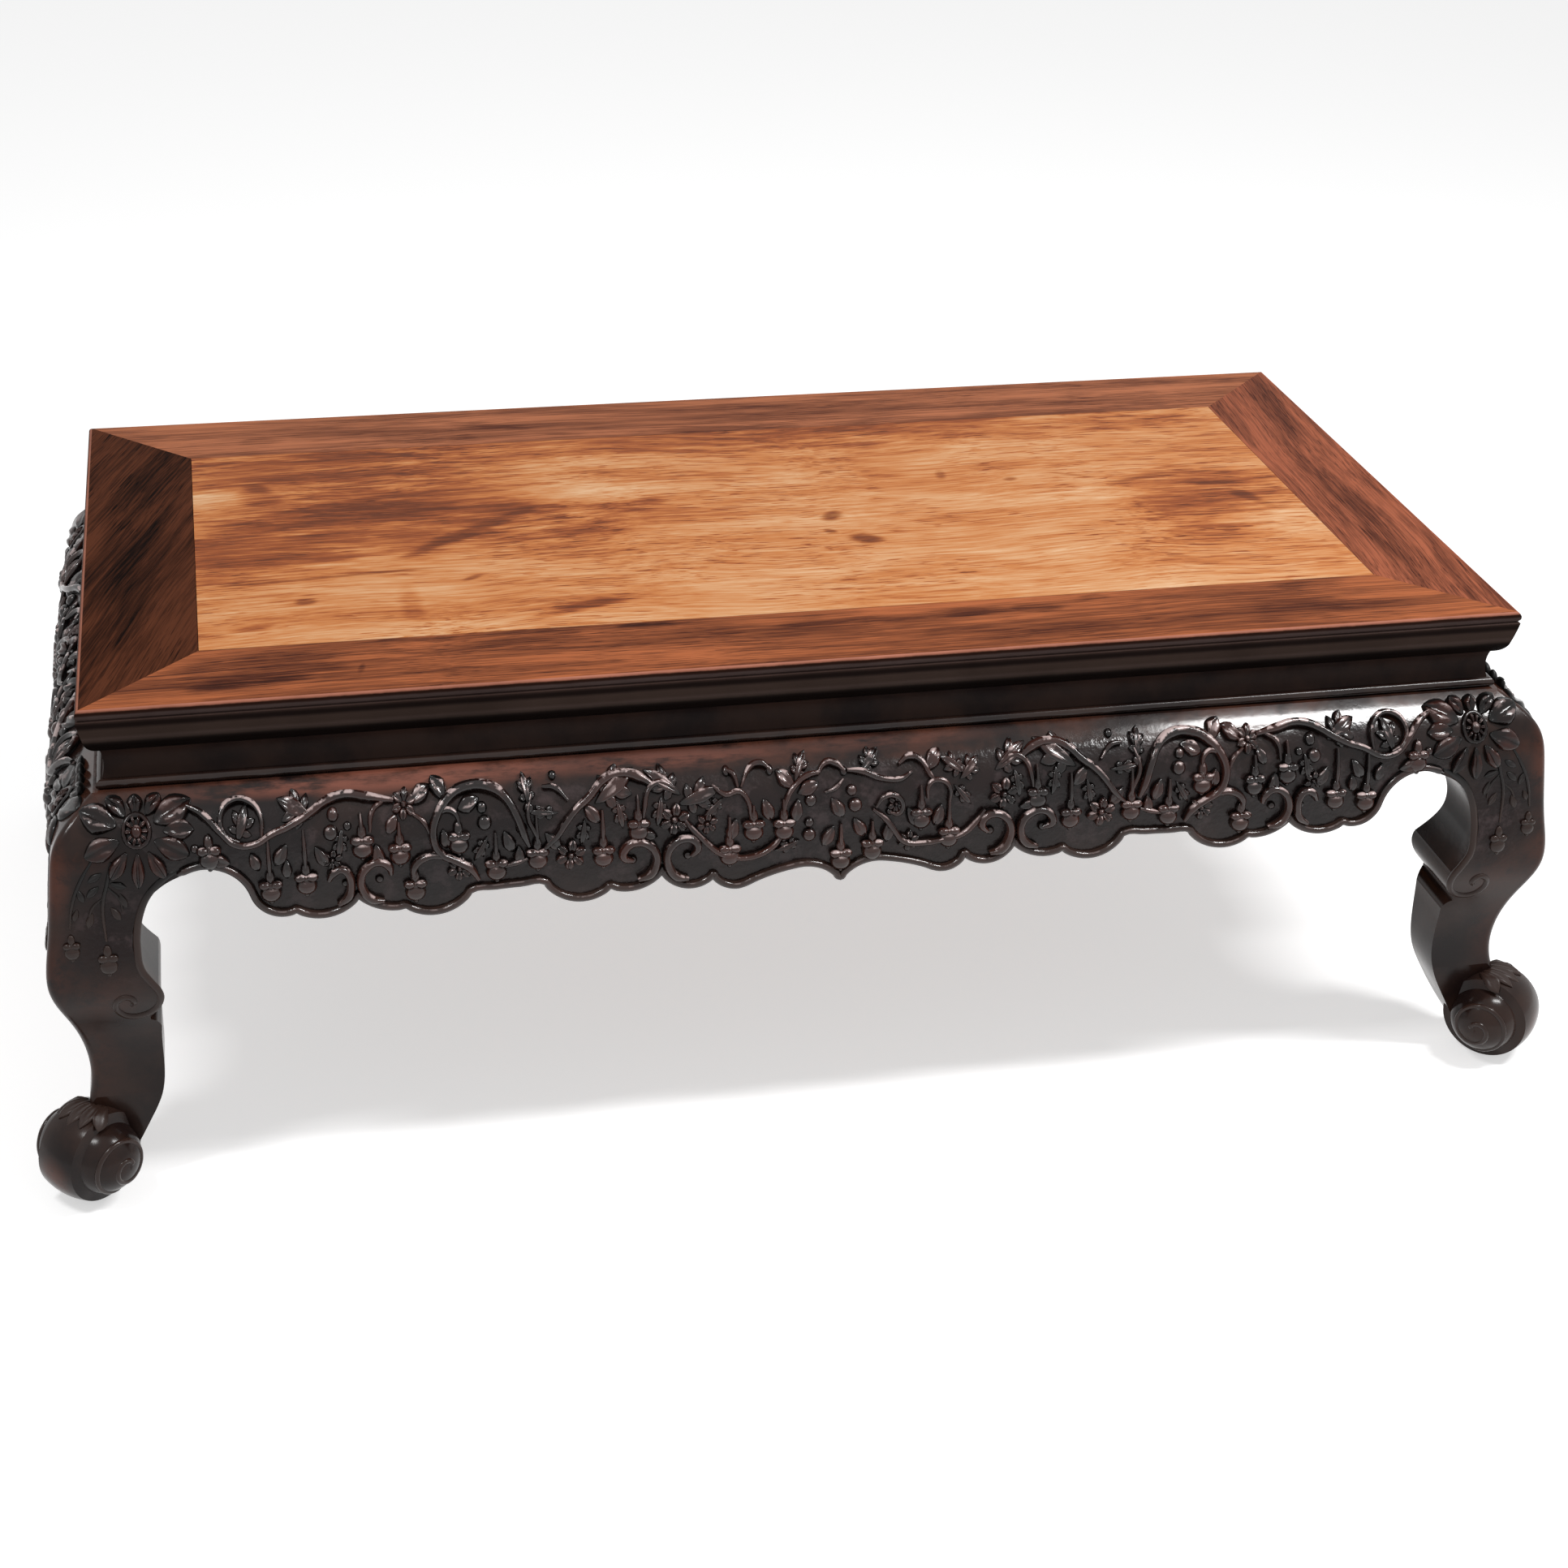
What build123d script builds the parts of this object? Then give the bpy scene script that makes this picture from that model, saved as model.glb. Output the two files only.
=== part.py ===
"""Kang table: a floating panel in a mitred frame, a drawn-in waist, bulging aprons with a scalloped
edge, and four cabriole legs that stand on outward-rolled scroll feet. All sizes in mm."""

from build123d import *

import math
import os

# Overall size. X runs along the table, the front is -Y, and Z rises from the floor.
HEIGHT = 323.0
TOP_LENGTH = 900.0
TOP_DEPTH = 458.0

# Top frame: four moulded rails, mitred at the corners.
RAIL_WIDTH = 71.0
RAIL_THICK = 31.0
ARRIS_RADIUS = 2.4
BEAD_DROP = 6.2
BEAD_NOSE = 0.3
BEAD_GROOVE = 1.2
GROOVE_LIP = 0.4
GROOVE_WIDTH = 1.4
BAND_DROP = 24.0
BAND_SETBACK = 3.2
UNDERCUT = 9.5
UNDERCUT_ROUND = 0.6
MITRE_TENON_WIDTH = 16.0
MITRE_TENON_THICK = 8.0
MITRE_TENON_DROP = 9.0
MITRE_TENON_INSET = 37.0
MITRE_TENON_END = 12.0

# Floating panel with a tongue all round, and the battens dovetailed across its underside.
PANEL_THICK = 14.0
PANEL_TONGUE = 8.0
PANEL_TONGUE_THICK = 6.0
BATTEN_COUNT = 3
BATTEN_WIDTH = 30.0
BATTEN_DEPTH = 15.0
BATTEN_DOVETAIL = 5.0
BATTEN_FLARE = 3.0
BATTEN_TENON = 14.0
BATTEN_TENON_THICK = 9.0

# Waist boards and the thin bead strip between them and the aprons.
WAIST_HEIGHT = 19.0
WAIST_SETBACK = 11.0
WAIST_HOLLOW = 1.6
STRIP_HEIGHT = 6.0
STRIP_SETBACK = 7.0
WAIST_BACK = 25.0
WAIST_TONGUE = 5.0
WAIST_TONGUE_THICK = 5.0

# Aprons. The back is planed to a slope that follows the bulge, and the scallops are cut from the depth.
APRON_SETBACK = 5.0
APRON_BACK_SLOPE = 0.34
APRON_DEPTH = 86.0
ARCH_CROWN = 0.8

# Legs. The shin runs from the apron's lower edge down to the ankle, where the foot begins.
ANKLE_HEIGHT = 66.0
STEM_INSET = 50.0
HEEL_THICK = 4.0
LEG_ROUND = 5.0
ROLL_RADIUS = 31.0
ROLL_REACH = 26.5
TONGUE_HALF = 14.0
TONGUE_CROWN = 2.0
BALL_RADIUS = 23.5
BALL_OFFSET = 11.0
PAD_SINK = 0.5
PIN_NECK = 7.0
PIN_HEAD = 12.0
PIN_PROUD = 9.0
PIN_LENGTH = 22.0
PIN_TOP_GAP = 2.0
PIN_INSET = 39.0
STEM_TENON = 9.0
LONG_TENON = 10.0
SHORT_TENON = 7.0
TENON_EDGE = 3.5

# Fits, how deep parts of one piece run into each other before they are fused, and what counts as one place.
FIT = 0.3
PANEL_GAP = 0.4
OVERLAP = 1.0
SAME_PLACE = 0.01

# Heights that follow from the sizes above.
RAIL_BOTTOM = HEIGHT - RAIL_THICK
WAIST_BOTTOM = RAIL_BOTTOM - WAIST_HEIGHT
APRON_TOP = WAIST_BOTTOM - STRIP_HEIGHT
PANEL_BOTTOM = HEIGHT - PANEL_THICK
SHIN_TOP = APRON_TOP - APRON_DEPTH

# The swelling outer line that aprons and legs share: (out from the top's edge, below the apron's top).
SWELL = [(6, 7.5), (18, 20), (23.5, 41), (28.5, 84)]
# The same line down the shin: how far out it lies, at these shares of the way down.
SHIN_OUT = [31, 21.5, 13.7, 15.5]
SHIN_SHARES = [0.235, 0.496, 0.8, 1]
# Inner line of the leg: the arch beside the apron, then down the shin the arch's lower part, the lip of
# the spur, the step below it and the calf.
ARCH = [(-32, 57), (-21.5, 76)]
ARCH_OUT = [-21, -26.5, -32.5]
ARCH_SHARES = [0.061, 0.191, 0.287]
SPUR_OUT = [-33.5, -26]
SPUR_SHARES = [0.357, 0.478]
STEP_OUT = [-26, -29.5, -32]
STEP_SHARES = [0.504, 0.522, 0.565]
CALF_OUT = [-31, -28.5]
CALF_SHARES = [0.765, 1]
# Inner line of the heel, above the floor.
HEEL = [(-19, 45), (-6, 22), (8, 5), (14, 0)]
# Inner corner of the calf and heel, along the diagonal.
CALF_CORNER_OUT = [-37]
CALF_CORNER_SHARES = [0.8]
HEEL_CORNER = [(-33.5, 64), (-24, 42), (-10, 20), (6, 0)]

# Scallops of the apron's lower edge, as arcs: (middle of the arc), (its end), above the apron's lower edge.
# From the middle of the apron, in distances from it.
MIDDLE_POINT = (0, 4)
MIDDLE_SCALLOPS = [((9, 11.5), (25, 15)), ((43, 11.5), (61, 5)), ((72, 5.5), (80, 13))]
# From the corner, in distances from the top's edge, as far as the leg.
CORNER_START = (-154, 18)
CORNER_SCALLOPS = [((-133, 8), (-117, 12.5)), ((-102, 13), (-93, 24)), ((-83, 39), (-64, 45.5))]
# Between them on the long aprons, at shares of the space between the two groups.
BETWEEN_SHARES = [(0.07, 0.147), (0.212, 0.298), (0.375, 0.48), (0.585, 0.69), (0.795, 0.87), (0.945, 1)]
BETWEEN_RISES = [(7, 19), (9.5, 11), (4.5, 17.5), (17.5, 16), (4, 9.5), (11, 19)]

SIDES = ("front", "right", "back", "left")
LONG_SIDES = ("front", "back")


def side(name):
    """A side's turn about Z from the front, half its length and half the size across it."""
    turn = SIDES.index(name) * 360 / len(SIDES)
    if name in LONG_SIDES:
        return turn, TOP_LENGTH / 2, TOP_DEPTH / 2
    return turn, TOP_DEPTH / 2, TOP_LENGTH / 2


def section_plane(half_out):
    """Plane across a side: local x points out of the table, local y up."""
    return Plane(origin=(0, -half_out, 0), x_dir=(0, -1, 0), z_dir=(-1, 0, 0))


def elevation_plane():
    """Plane along a side: local x runs with the side, local y up."""
    return Plane(origin=(0, 0, 0), x_dir=(1, 0, 0), z_dir=(0, -1, 0))


def prism(plane, face, half):
    """A face drawn on a plane, run out by the same length to both sides of it."""
    return extrude(plane.offset(-half) * face, amount=2 * half)


def block(low, high):
    """Box between two corners."""
    size = [b - a for a, b in zip(low, high)]
    return Pos(*low) * Box(*size, align=(Align.MIN, Align.MIN, Align.MIN))


def plan_mitres(half_run, half_out):
    """What lies between the mitres of a side, which fall at 45 degrees in plan."""
    reach = 2 * STEM_INSET
    plan = Polyline(
        (-half_run - reach, -half_out - reach),
        (half_run + reach, -half_out - reach),
        (half_run - reach, -half_out + reach),
        (-half_run + reach, -half_out + reach),
        close=True,
    )
    return extrude(make_face(plan), amount=2 * HEIGHT)


def mitred_run(section, half_run, half_out):
    """A section run along a side and mitred in plan at both corners."""
    bar = prism(section_plane(half_out), section, 2 * half_run)
    return bar & plan_mitres(half_run, half_out)


def rail_section():
    """Rail: a bead under a rounded arris, a groove, a flat band and an undercut."""
    top, low = HEIGHT, RAIL_BOTTOM
    groove = top - BEAD_DROP
    band = top - BAND_DROP
    shoulder = (-ARRIS_RADIUS, top)
    bead_end = (-ARRIS_RADIUS / 3, groove)
    groove_bottom = (-BEAD_GROOVE, groove - GROOVE_LIP)
    band_top = (BEAD_NOSE, groove - GROOVE_WIDTH)
    band_end = (-BAND_SETBACK, band)
    undercut_end = (-UNDERCUT, low)
    undercut_middle = (
        -(BAND_SETBACK + UNDERCUT) / 2 + UNDERCUT_ROUND, (band + low) / 2 - UNDERCUT_ROUND
    )
    edge = [
        Line((-RAIL_WIDTH, low), (-RAIL_WIDTH, top)),
        Line((-RAIL_WIDTH, top), shoulder),
        ThreePointArc(shoulder, (BEAD_NOSE, (top + groove) / 2), bead_end),
        Line(bead_end, groove_bottom),
        Line(groove_bottom, band_top),
        ThreePointArc(band_top, (-BAND_SETBACK / 3, (groove + band) / 2), band_end),
        ThreePointArc(band_end, undercut_middle, undercut_end),
        Line(undercut_end, (-RAIL_WIDTH, low)),
    ]
    return make_face(edge)


def mitre_tenons(half_run, half_out, grow):
    """The two tenons of a long rail, which run on past its mitres into the end rails."""
    top = HEIGHT - MITRE_TENON_DROP + grow
    low = HEIGHT - MITRE_TENON_DROP - MITRE_TENON_THICK - grow
    near = -half_out + MITRE_TENON_INSET - grow
    wide = near + MITRE_TENON_WIDTH + 2 * grow
    start = half_run - MITRE_TENON_INSET - MITRE_TENON_WIDTH - grow
    end = half_run - MITRE_TENON_END + grow
    right = block((start, near, low), (end, wide, top))
    left = block((-end, near, low), (-start, wide, top))
    return right, left


def stem_tenons(grow):
    """The leg's two top tenons at the front right corner: into the long rail and into the end rail."""
    low = RAIL_BOTTOM - OVERLAP
    across = STEM_INSET - TENON_EDGE - STEM_TENON
    near = WAIST_BACK + TENON_EDGE
    x_corner, y_corner = TOP_LENGTH / 2, -TOP_DEPTH / 2
    long_one = block(
        (x_corner - across - STEM_TENON - grow, y_corner + near - grow, low),
        (x_corner - across + grow, y_corner + near + STEM_TENON / 2 + grow, RAIL_BOTTOM + LONG_TENON + grow),
    )
    short_one = block(
        (x_corner - near - STEM_TENON / 2 - grow, y_corner + across - grow, low),
        (x_corner - near + grow, y_corner + across + STEM_TENON + grow, RAIL_BOTTOM + SHORT_TENON + grow),
    )
    return long_one + short_one


def batten_centres():
    """X of each batten, evenly spaced between the end rails."""
    inner = TOP_LENGTH - 2 * RAIL_WIDTH
    pitch = inner / (BATTEN_COUNT + 1)
    return [-inner / 2 + pitch * (i + 1) for i in range(BATTEN_COUNT)]


def batten(x, grow):
    """A batten: dovetail above, square below, with a tenon into each long rail."""
    half = BATTEN_WIDTH / 2 + grow
    top = PANEL_BOTTOM + BATTEN_DOVETAIL + grow
    low = PANEL_BOTTOM - BATTEN_DEPTH
    outline = Polyline(
        (-half, low), (half, low), (half, PANEL_BOTTOM), (half - BATTEN_FLARE, PANEL_BOTTOM),
        (half, top), (-half, top), (-half + BATTEN_FLARE, PANEL_BOTTOM), (-half, PANEL_BOTTOM), close=True,
    )
    inside = TOP_DEPTH / 2 - RAIL_WIDTH - PANEL_GAP
    bar = prism(elevation_plane(), make_face(outline), inside)
    tenon_half = half - BATTEN_FLARE
    reach = TOP_DEPTH / 2 - RAIL_WIDTH + BATTEN_TENON + grow
    tenon = block(
        (-tenon_half, -reach, low + FIT - grow), (tenon_half, reach, low + FIT + BATTEN_TENON_THICK + grow)
    )
    return Pos(x, 0, 0) * (bar + tenon)


def top_panel():
    """Flush panel with a tongue on all four edges and a dovetail housing for each batten."""
    half_x = TOP_LENGTH / 2 - RAIL_WIDTH - PANEL_GAP
    half_y = TOP_DEPTH / 2 - RAIL_WIDTH - PANEL_GAP
    field = block((-half_x, -half_y, PANEL_BOTTOM), (half_x, half_y, HEIGHT))
    long_x, long_y = half_x + PANEL_TONGUE, half_y + PANEL_TONGUE
    tongue = block((-long_x, -long_y, PANEL_BOTTOM), (long_x, long_y, PANEL_BOTTOM + PANEL_TONGUE_THICK))
    panel = field + tongue
    for x in batten_centres():
        panel -= batten(x, 0.0) + Pos(x, 0, 0) * dovetail_housing()
    return panel


def dovetail_housing():
    """The sliding dovetail's housing, open at both edges of the panel."""
    half = BATTEN_WIDTH / 2
    top = PANEL_BOTTOM + BATTEN_DOVETAIL
    outline = Polyline(
        (-half + BATTEN_FLARE, PANEL_BOTTOM - OVERLAP), (half - BATTEN_FLARE, PANEL_BOTTOM - OVERLAP),
        (half - BATTEN_FLARE, PANEL_BOTTOM), (half, top), (-half, top),
        (-half + BATTEN_FLARE, PANEL_BOTTOM), close=True,
    )
    return prism(elevation_plane(), make_face(outline), TOP_DEPTH / 2)


def top_rail(name):
    """One rail of the top frame, grooved for the panel and the waist board."""
    turn, half_run, half_out = side(name)
    rail = mitred_run(rail_section(), half_run, half_out)
    if name in LONG_SIDES:
        for tenon in mitre_tenons(half_run, half_out, 0.0):
            rail += tenon
    inner = -half_out + RAIL_WIDTH
    tongue_low = PANEL_BOTTOM - FIT
    tongue_high = PANEL_BOTTOM + PANEL_TONGUE_THICK + FIT
    groove_half = half_run - RAIL_WIDTH + PANEL_TONGUE + PANEL_GAP
    groove_bottom = inner - PANEL_TONGUE - PANEL_GAP
    rail -= block((-groove_half, groove_bottom, tongue_low), (groove_half, inner + OVERLAP, tongue_high))
    rail -= mitred_run(waist_tongue_section(FIT), half_run, half_out)
    rail = Rot(0, 0, turn) * rail
    if name in LONG_SIDES:
        for x in batten_centres():
            rail -= batten(x, FIT)
    else:
        for other in LONG_SIDES:
            other_turn, other_run, other_out = side(other)
            for tenon in mitre_tenons(other_run, other_out, FIT):
                rail -= Rot(0, 0, other_turn) * tenon
    for tenons in four_corners(stem_tenons(FIT)).values():
        rail -= tenons
    return rail


def waist_tongue_section(grow):
    """Tongue on the waist board's upper edge."""
    back = -WAIST_BACK + WAIST_TONGUE_THICK / 2
    low = RAIL_BOTTOM - OVERLAP
    return make_face(Polyline(
        (back - grow, low), (back + WAIST_TONGUE_THICK + grow, low),
        (back + WAIST_TONGUE_THICK + grow, RAIL_BOTTOM + WAIST_TONGUE + grow),
        (back - grow, RAIL_BOTTOM + WAIST_TONGUE + grow), close=True,
    ))


def waist_board(name):
    """Hollow-faced waist board with its tongue, mitred in plan."""
    turn, half_run, half_out = side(name)
    middle = (RAIL_BOTTOM + WAIST_BOTTOM) / 2
    face = make_face([
        ThreePointArc((-WAIST_SETBACK, RAIL_BOTTOM), (-WAIST_SETBACK - WAIST_HOLLOW, middle),
                      (-WAIST_SETBACK, WAIST_BOTTOM)),
        Line((-WAIST_SETBACK, WAIST_BOTTOM), (-WAIST_BACK, WAIST_BOTTOM)),
        Line((-WAIST_BACK, WAIST_BOTTOM), (-WAIST_BACK, RAIL_BOTTOM)),
        Line((-WAIST_BACK, RAIL_BOTTOM), (-WAIST_SETBACK, RAIL_BOTTOM)),
    ])
    board = mitred_run(face + waist_tongue_section(0.0), half_run, half_out)
    return Rot(0, 0, turn) * board


def bead_strip(name):
    """Half-round strip between waist and apron."""
    turn, half_run, half_out = side(name)
    middle = (WAIST_BOTTOM + APRON_TOP) / 2
    nose = STRIP_SETBACK + STRIP_HEIGHT / 2
    face = make_face([
        ThreePointArc((-nose, WAIST_BOTTOM), (-STRIP_SETBACK, middle), (-nose, APRON_TOP)),
        Line((-nose, APRON_TOP), (-WAIST_BACK, APRON_TOP)),
        Line((-WAIST_BACK, APRON_TOP), (-WAIST_BACK, WAIST_BOTTOM)),
        Line((-WAIST_BACK, WAIST_BOTTOM), (-nose, WAIST_BOTTOM)),
    ])
    return Rot(0, 0, turn) * mitred_run(face, half_run, half_out)


def down_shin(outs, shares):
    """Points on the shin, from how far out they lie and their shares of the way down to the ankle."""
    return [(out, SHIN_TOP - share * (SHIN_TOP - ANKLE_HEIGHT)) for out, share in zip(outs, shares)]


def swell_line():
    """The outer line from the apron's top to the ankle, and its end."""
    points = [(-APRON_SETBACK, APRON_TOP)]
    points += [(out, APRON_TOP - drop) for out, drop in SWELL]
    points += down_shin(SHIN_OUT, SHIN_SHARES)
    return Spline(*points), points[-1]


def apron_bar(half_run, half_out):
    """The apron's section, its swell in front and its sloping back, run past both corners."""
    line, ankle = swell_line()
    swell = make_face([
        line,
        Line(ankle, (-WAIST_BACK, ankle[1])),
        Line((-WAIST_BACK, ankle[1]), (-WAIST_BACK, APRON_TOP)),
        Line((-WAIST_BACK, APRON_TOP), (-APRON_SETBACK, APRON_TOP)),
    ])
    back = -WAIST_BACK + APRON_BACK_SLOPE * APRON_DEPTH
    planed = make_face(Polyline(
        (-WAIST_BACK, APRON_TOP), (back, SHIN_TOP), (2 * WAIST_BACK, SHIN_TOP),
        (2 * WAIST_BACK, APRON_TOP), close=True,
    ))
    return prism(section_plane(half_out), swell & planed, 2 * half_run)


def shoulder_mitres(half_run):
    """What lies inside the two shoulder mitres of a side, which fall at 45 degrees seen from that side."""
    top = half_run - APRON_SETBACK
    face = make_face(Polyline(
        (-top, APRON_TOP), (top, APRON_TOP), (top - APRON_DEPTH, SHIN_TOP), (-top + APRON_DEPTH, SHIN_TOP),
        close=True,
    ))
    return prism(elevation_plane(), face, TOP_LENGTH)


def scallops(half_run, is_long):
    """Arcs from the apron's middle to its shoulder mitre, each by its middle and its end."""
    arcs = list(MIDDLE_SCALLOPS)
    start = arcs[-1][1][0]
    stop = half_run + CORNER_START[0]
    if is_long:
        span = stop - start
        for (middle_share, end_share), (middle_rise, end_rise) in zip(BETWEEN_SHARES, BETWEEN_RISES):
            arcs.append(((start + middle_share * span, middle_rise), (start + end_share * span, end_rise)))
    else:
        squeeze = stop / start
        arcs = [((a * squeeze, b), (c * squeeze, d)) for (a, b), (c, d) in arcs]
        arcs[-1] = (arcs[-1][0], (stop, CORNER_START[1]))
    arcs += [((half_run + a, b), (half_run + c, d)) for (a, b), (c, d) in CORNER_SCALLOPS]
    last_x, last_rise = arcs[-1][1]
    mitre_x = half_run - STEM_INSET
    mitre_rise = APRON_DEPTH - STEM_INSET + APRON_SETBACK
    crown = ((last_x + mitre_x) / 2 + ARCH_CROWN / 2, (last_rise + mitre_rise) / 2 + ARCH_CROWN)
    arcs.append((crown, (mitre_x, mitre_rise)))
    return arcs


def scallop_outline(half_run, is_long):
    """Face of the apron as seen from its side: scallops below, plain above, mitred at both shoulders."""
    arcs = scallops(half_run, is_long)
    edges = []
    for sign in (1, -1):
        at = MIDDLE_POINT
        for middle, end in arcs:
            edges.append(ThreePointArc(*[(sign * x, SHIN_TOP + rise) for x, rise in (at, middle, end)]))
            at = end
    low = (at[0], SHIN_TOP + at[1])
    top = (half_run - APRON_SETBACK, APRON_TOP)
    edges += [
        Line(low, top),
        Line(top, (-top[0], top[1])),
        Line((-top[0], top[1]), (-low[0], low[1])),
    ]
    return make_face(edges)


def apron(name):
    """One apron: swelling face, scalloped edge, mitred shoulders and a dovetail slot behind each."""
    turn, half_run, half_out = side(name)
    outline = scallop_outline(half_run, name in LONG_SIDES)
    body = prism(elevation_plane(), outline, TOP_LENGTH) & apron_bar(half_run, half_out)
    body &= plan_mitres(half_run, half_out)
    for x in (half_run - PIN_INSET, -half_run + PIN_INSET):
        body -= Pos(x, -half_out, 0) * hanging_pin(FIT, PIN_LENGTH + STEM_INSET, 0)
    return Rot(0, 0, turn) * body


def hanging_pin(grow, low_drop, top_drop):
    """Dovetail pin on a leg's shoulder, between two depths below the apron's top. It widens to the front."""
    root = WAIST_BACK + OVERLAP
    head = WAIST_BACK - PIN_PROUD - grow
    plan = make_face(Polyline(
        (-PIN_NECK / 2 - grow, root), (PIN_NECK / 2 + grow, root),
        (PIN_HEAD / 2 + grow, head), (-PIN_HEAD / 2 - grow, head), close=True,
    ))
    return Pos(0, 0, APRON_TOP - low_drop) * extrude(plan, amount=low_drop - top_drop)


def outer_outline():
    """The leg's swelling front and square back, seen square to one side."""
    line, ankle = swell_line()
    toe = (HEEL[-1][0] + HEEL_THICK, 0)
    return make_face([
        line,
        Line(ankle, toe),
        Line(toe, (-STEM_INSET, 0)),
        Line((-STEM_INSET, 0), (-STEM_INSET, APRON_TOP)),
        Line((-STEM_INSET, APRON_TOP), (-APRON_SETBACK, APRON_TOP)),
    ])


def inner_waste():
    """What is sawn away inside the leg: arch, spur, step, calf and the heel's inner line."""
    start = (-STEM_INSET, APRON_TOP - STEM_INSET + APRON_SETBACK)
    arch = [start] + [(out, APRON_TOP - drop) for out, drop in ARCH] + down_shin(ARCH_OUT, ARCH_SHARES)
    spur = down_shin(SPUR_OUT, SPUR_SHARES)
    step = down_shin(STEP_OUT, STEP_SHARES)
    calf = down_shin(CALF_OUT, CALF_SHARES) + HEEL
    toe = calf[-1]
    behind = -STEM_INSET - OVERLAP
    below = -OVERLAP
    return make_face([
        Spline(*arch),
        ThreePointArc(arch[-1], *spur),
        Line(spur[-1], step[0]),
        ThreePointArc(*step),
        Spline(step[-1], *calf),
        Line(toe, (toe[0], below)),
        Line((toe[0], below), (behind, below)),
        Line((behind, below), (behind, start[1])),
        Line((behind, start[1]), start),
    ])


def corner_waste():
    """What is taken off the inner corner of the calf and heel, seen along the diagonal."""
    calf = down_shin(CALF_CORNER_OUT, CALF_CORNER_SHARES) + HEEL_CORNER
    toe = calf[-1]
    step = down_shin(SPUR_OUT, SPUR_SHARES)[-1][1]
    far = -3 * STEM_INSET
    return make_face([
        Line((far, step), (calf[0][0], step)),
        Spline((calf[0][0], step), *calf),
        Line(toe, (toe[0], -OVERLAP)),
        Line((toe[0], -OVERLAP), (far, -OVERLAP)),
        Line((far, -OVERLAP), (far, step)),
    ])


def scroll_foot():
    """The rolled foot: a crowned tongue between two balls, turned about an axis across the diagonal."""
    centre = ROLL_RADIUS - PAD_SINK
    edge = ROLL_RADIUS - TONGUE_CROWN
    root = TONGUE_HALF + TONGUE_CROWN
    root_radius = math.sqrt(BALL_RADIUS**2 - (root - BALL_OFFSET) ** 2)
    cheek_radius = BALL_RADIUS / math.sqrt(2)
    cheek = BALL_OFFSET + cheek_radius
    tip = BALL_OFFSET + BALL_RADIUS
    half = []
    for sign in (1, -1):
        half += [
            Line((sign * TONGUE_HALF, edge), (sign * root, root_radius)),
            ThreePointArc((sign * root, root_radius), (sign * cheek, cheek_radius), (sign * tip, 0)),
        ]
    profile = make_face([
        ThreePointArc((-TONGUE_HALF, edge), (0, ROLL_RADIUS), (TONGUE_HALF, edge)),
        *half,
        Line((-tip, 0), (tip, 0)),
    ])
    reach = ROLL_REACH / math.sqrt(2)
    plane = Plane(origin=(reach, -reach, centre), x_dir=(1, 1, 0), z_dir=(1, -1, 0))
    roll = revolve(plane * profile, axis=Axis((reach, -reach, centre), (1, 1, 0)))
    return roll & block((-HEIGHT, -HEIGHT, 0), (HEIGHT, HEIGHT, HEIGHT))


def outer_arris(body):
    """The long edge where the leg's two swelling faces meet, on the diagonal through the corner."""
    middles = [(edge, edge @ 0.5) for edge in body.edges()]
    on_diagonal = [
        edge for edge, at in middles if abs(at.X + at.Y) < SAME_PLACE and at.X > -STEM_INSET / 2
    ]
    return max(on_diagonal, key=lambda edge: edge.length)


def front_right_leg():
    """A whole leg at the front right corner."""
    corner = Pos(TOP_LENGTH / 2, -TOP_DEPTH / 2, 0)
    far = 3 * STEM_INSET
    body = prism(elevation_plane(), outer_outline(), far) & prism(section_plane(0), outer_outline(), far)
    body = fillet(outer_arris(body), LEG_ROUND)
    body -= prism(elevation_plane(), inner_waste(), far)
    body -= prism(section_plane(0), inner_waste(), far)
    diagonal = Plane(origin=(0, 0, 0), x_dir=(1, -1, 0), z_dir=(-1, -1, 0))
    body -= prism(diagonal, corner_waste(), far)
    body += scroll_foot()
    body = corner * body
    stem = block((TOP_LENGTH / 2 - STEM_INSET, -TOP_DEPTH / 2 + WAIST_BACK, APRON_TOP),
                 (TOP_LENGTH / 2 - WAIST_BACK, -TOP_DEPTH / 2 + STEM_INSET, RAIL_BOTTOM))
    for name in ("front", "right"):
        turn, half_run, half_out = side(name)
        body -= Rot(0, 0, turn) * (apron_bar(half_run, half_out) & shoulder_mitres(half_run))
    body += stem
    body += stem_tenons(0.0)
    for name, sign in (("front", 1), ("right", -1)):
        turn, half_run, half_out = side(name)
        pin = hanging_pin(0.0, PIN_LENGTH, PIN_TOP_GAP)
        body += Rot(0, 0, turn) * Pos(sign * (half_run - PIN_INSET), -half_out, 0) * pin
    return body


def four_corners(piece):
    """A front right corner piece and its mirrored fellows."""
    front_left = mirror(piece, about=Plane.YZ)
    return {
        "front_right": piece,
        "front_left": front_left,
        "back_right": mirror(piece, about=Plane.XZ),
        "back_left": mirror(front_left, about=Plane.XZ),
    }


def build():
    """All pieces of the table by name."""
    pieces = {"top_panel": top_panel()}
    for name in SIDES:
        pieces[f"{name}_top_rail"] = top_rail(name)
        pieces[f"{name}_waist_board"] = waist_board(name)
        pieces[f"{name}_bead_strip"] = bead_strip(name)
        pieces[f"{name}_apron"] = apron(name)
    for number, x in enumerate(batten_centres(), 1):
        pieces[f"batten_{number}"] = batten(x, 0.0)
    for name, leg in four_corners(front_right_leg()).items():
        pieces[f"{name}_leg"] = leg
    return pieces


os.makedirs("parts", exist_ok=True)
for name, piece in build().items():
    solids = piece.solids()
    export_step(solids[0] if len(solids) == 1 else Compound(solids), f"parts/{name}.step")
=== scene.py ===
"""Looks of the kang table: its woods, its lacquer and its carving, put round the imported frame. Metres."""
import math

import bmesh
import bpy
from mathutils import Matrix, Vector


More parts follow.
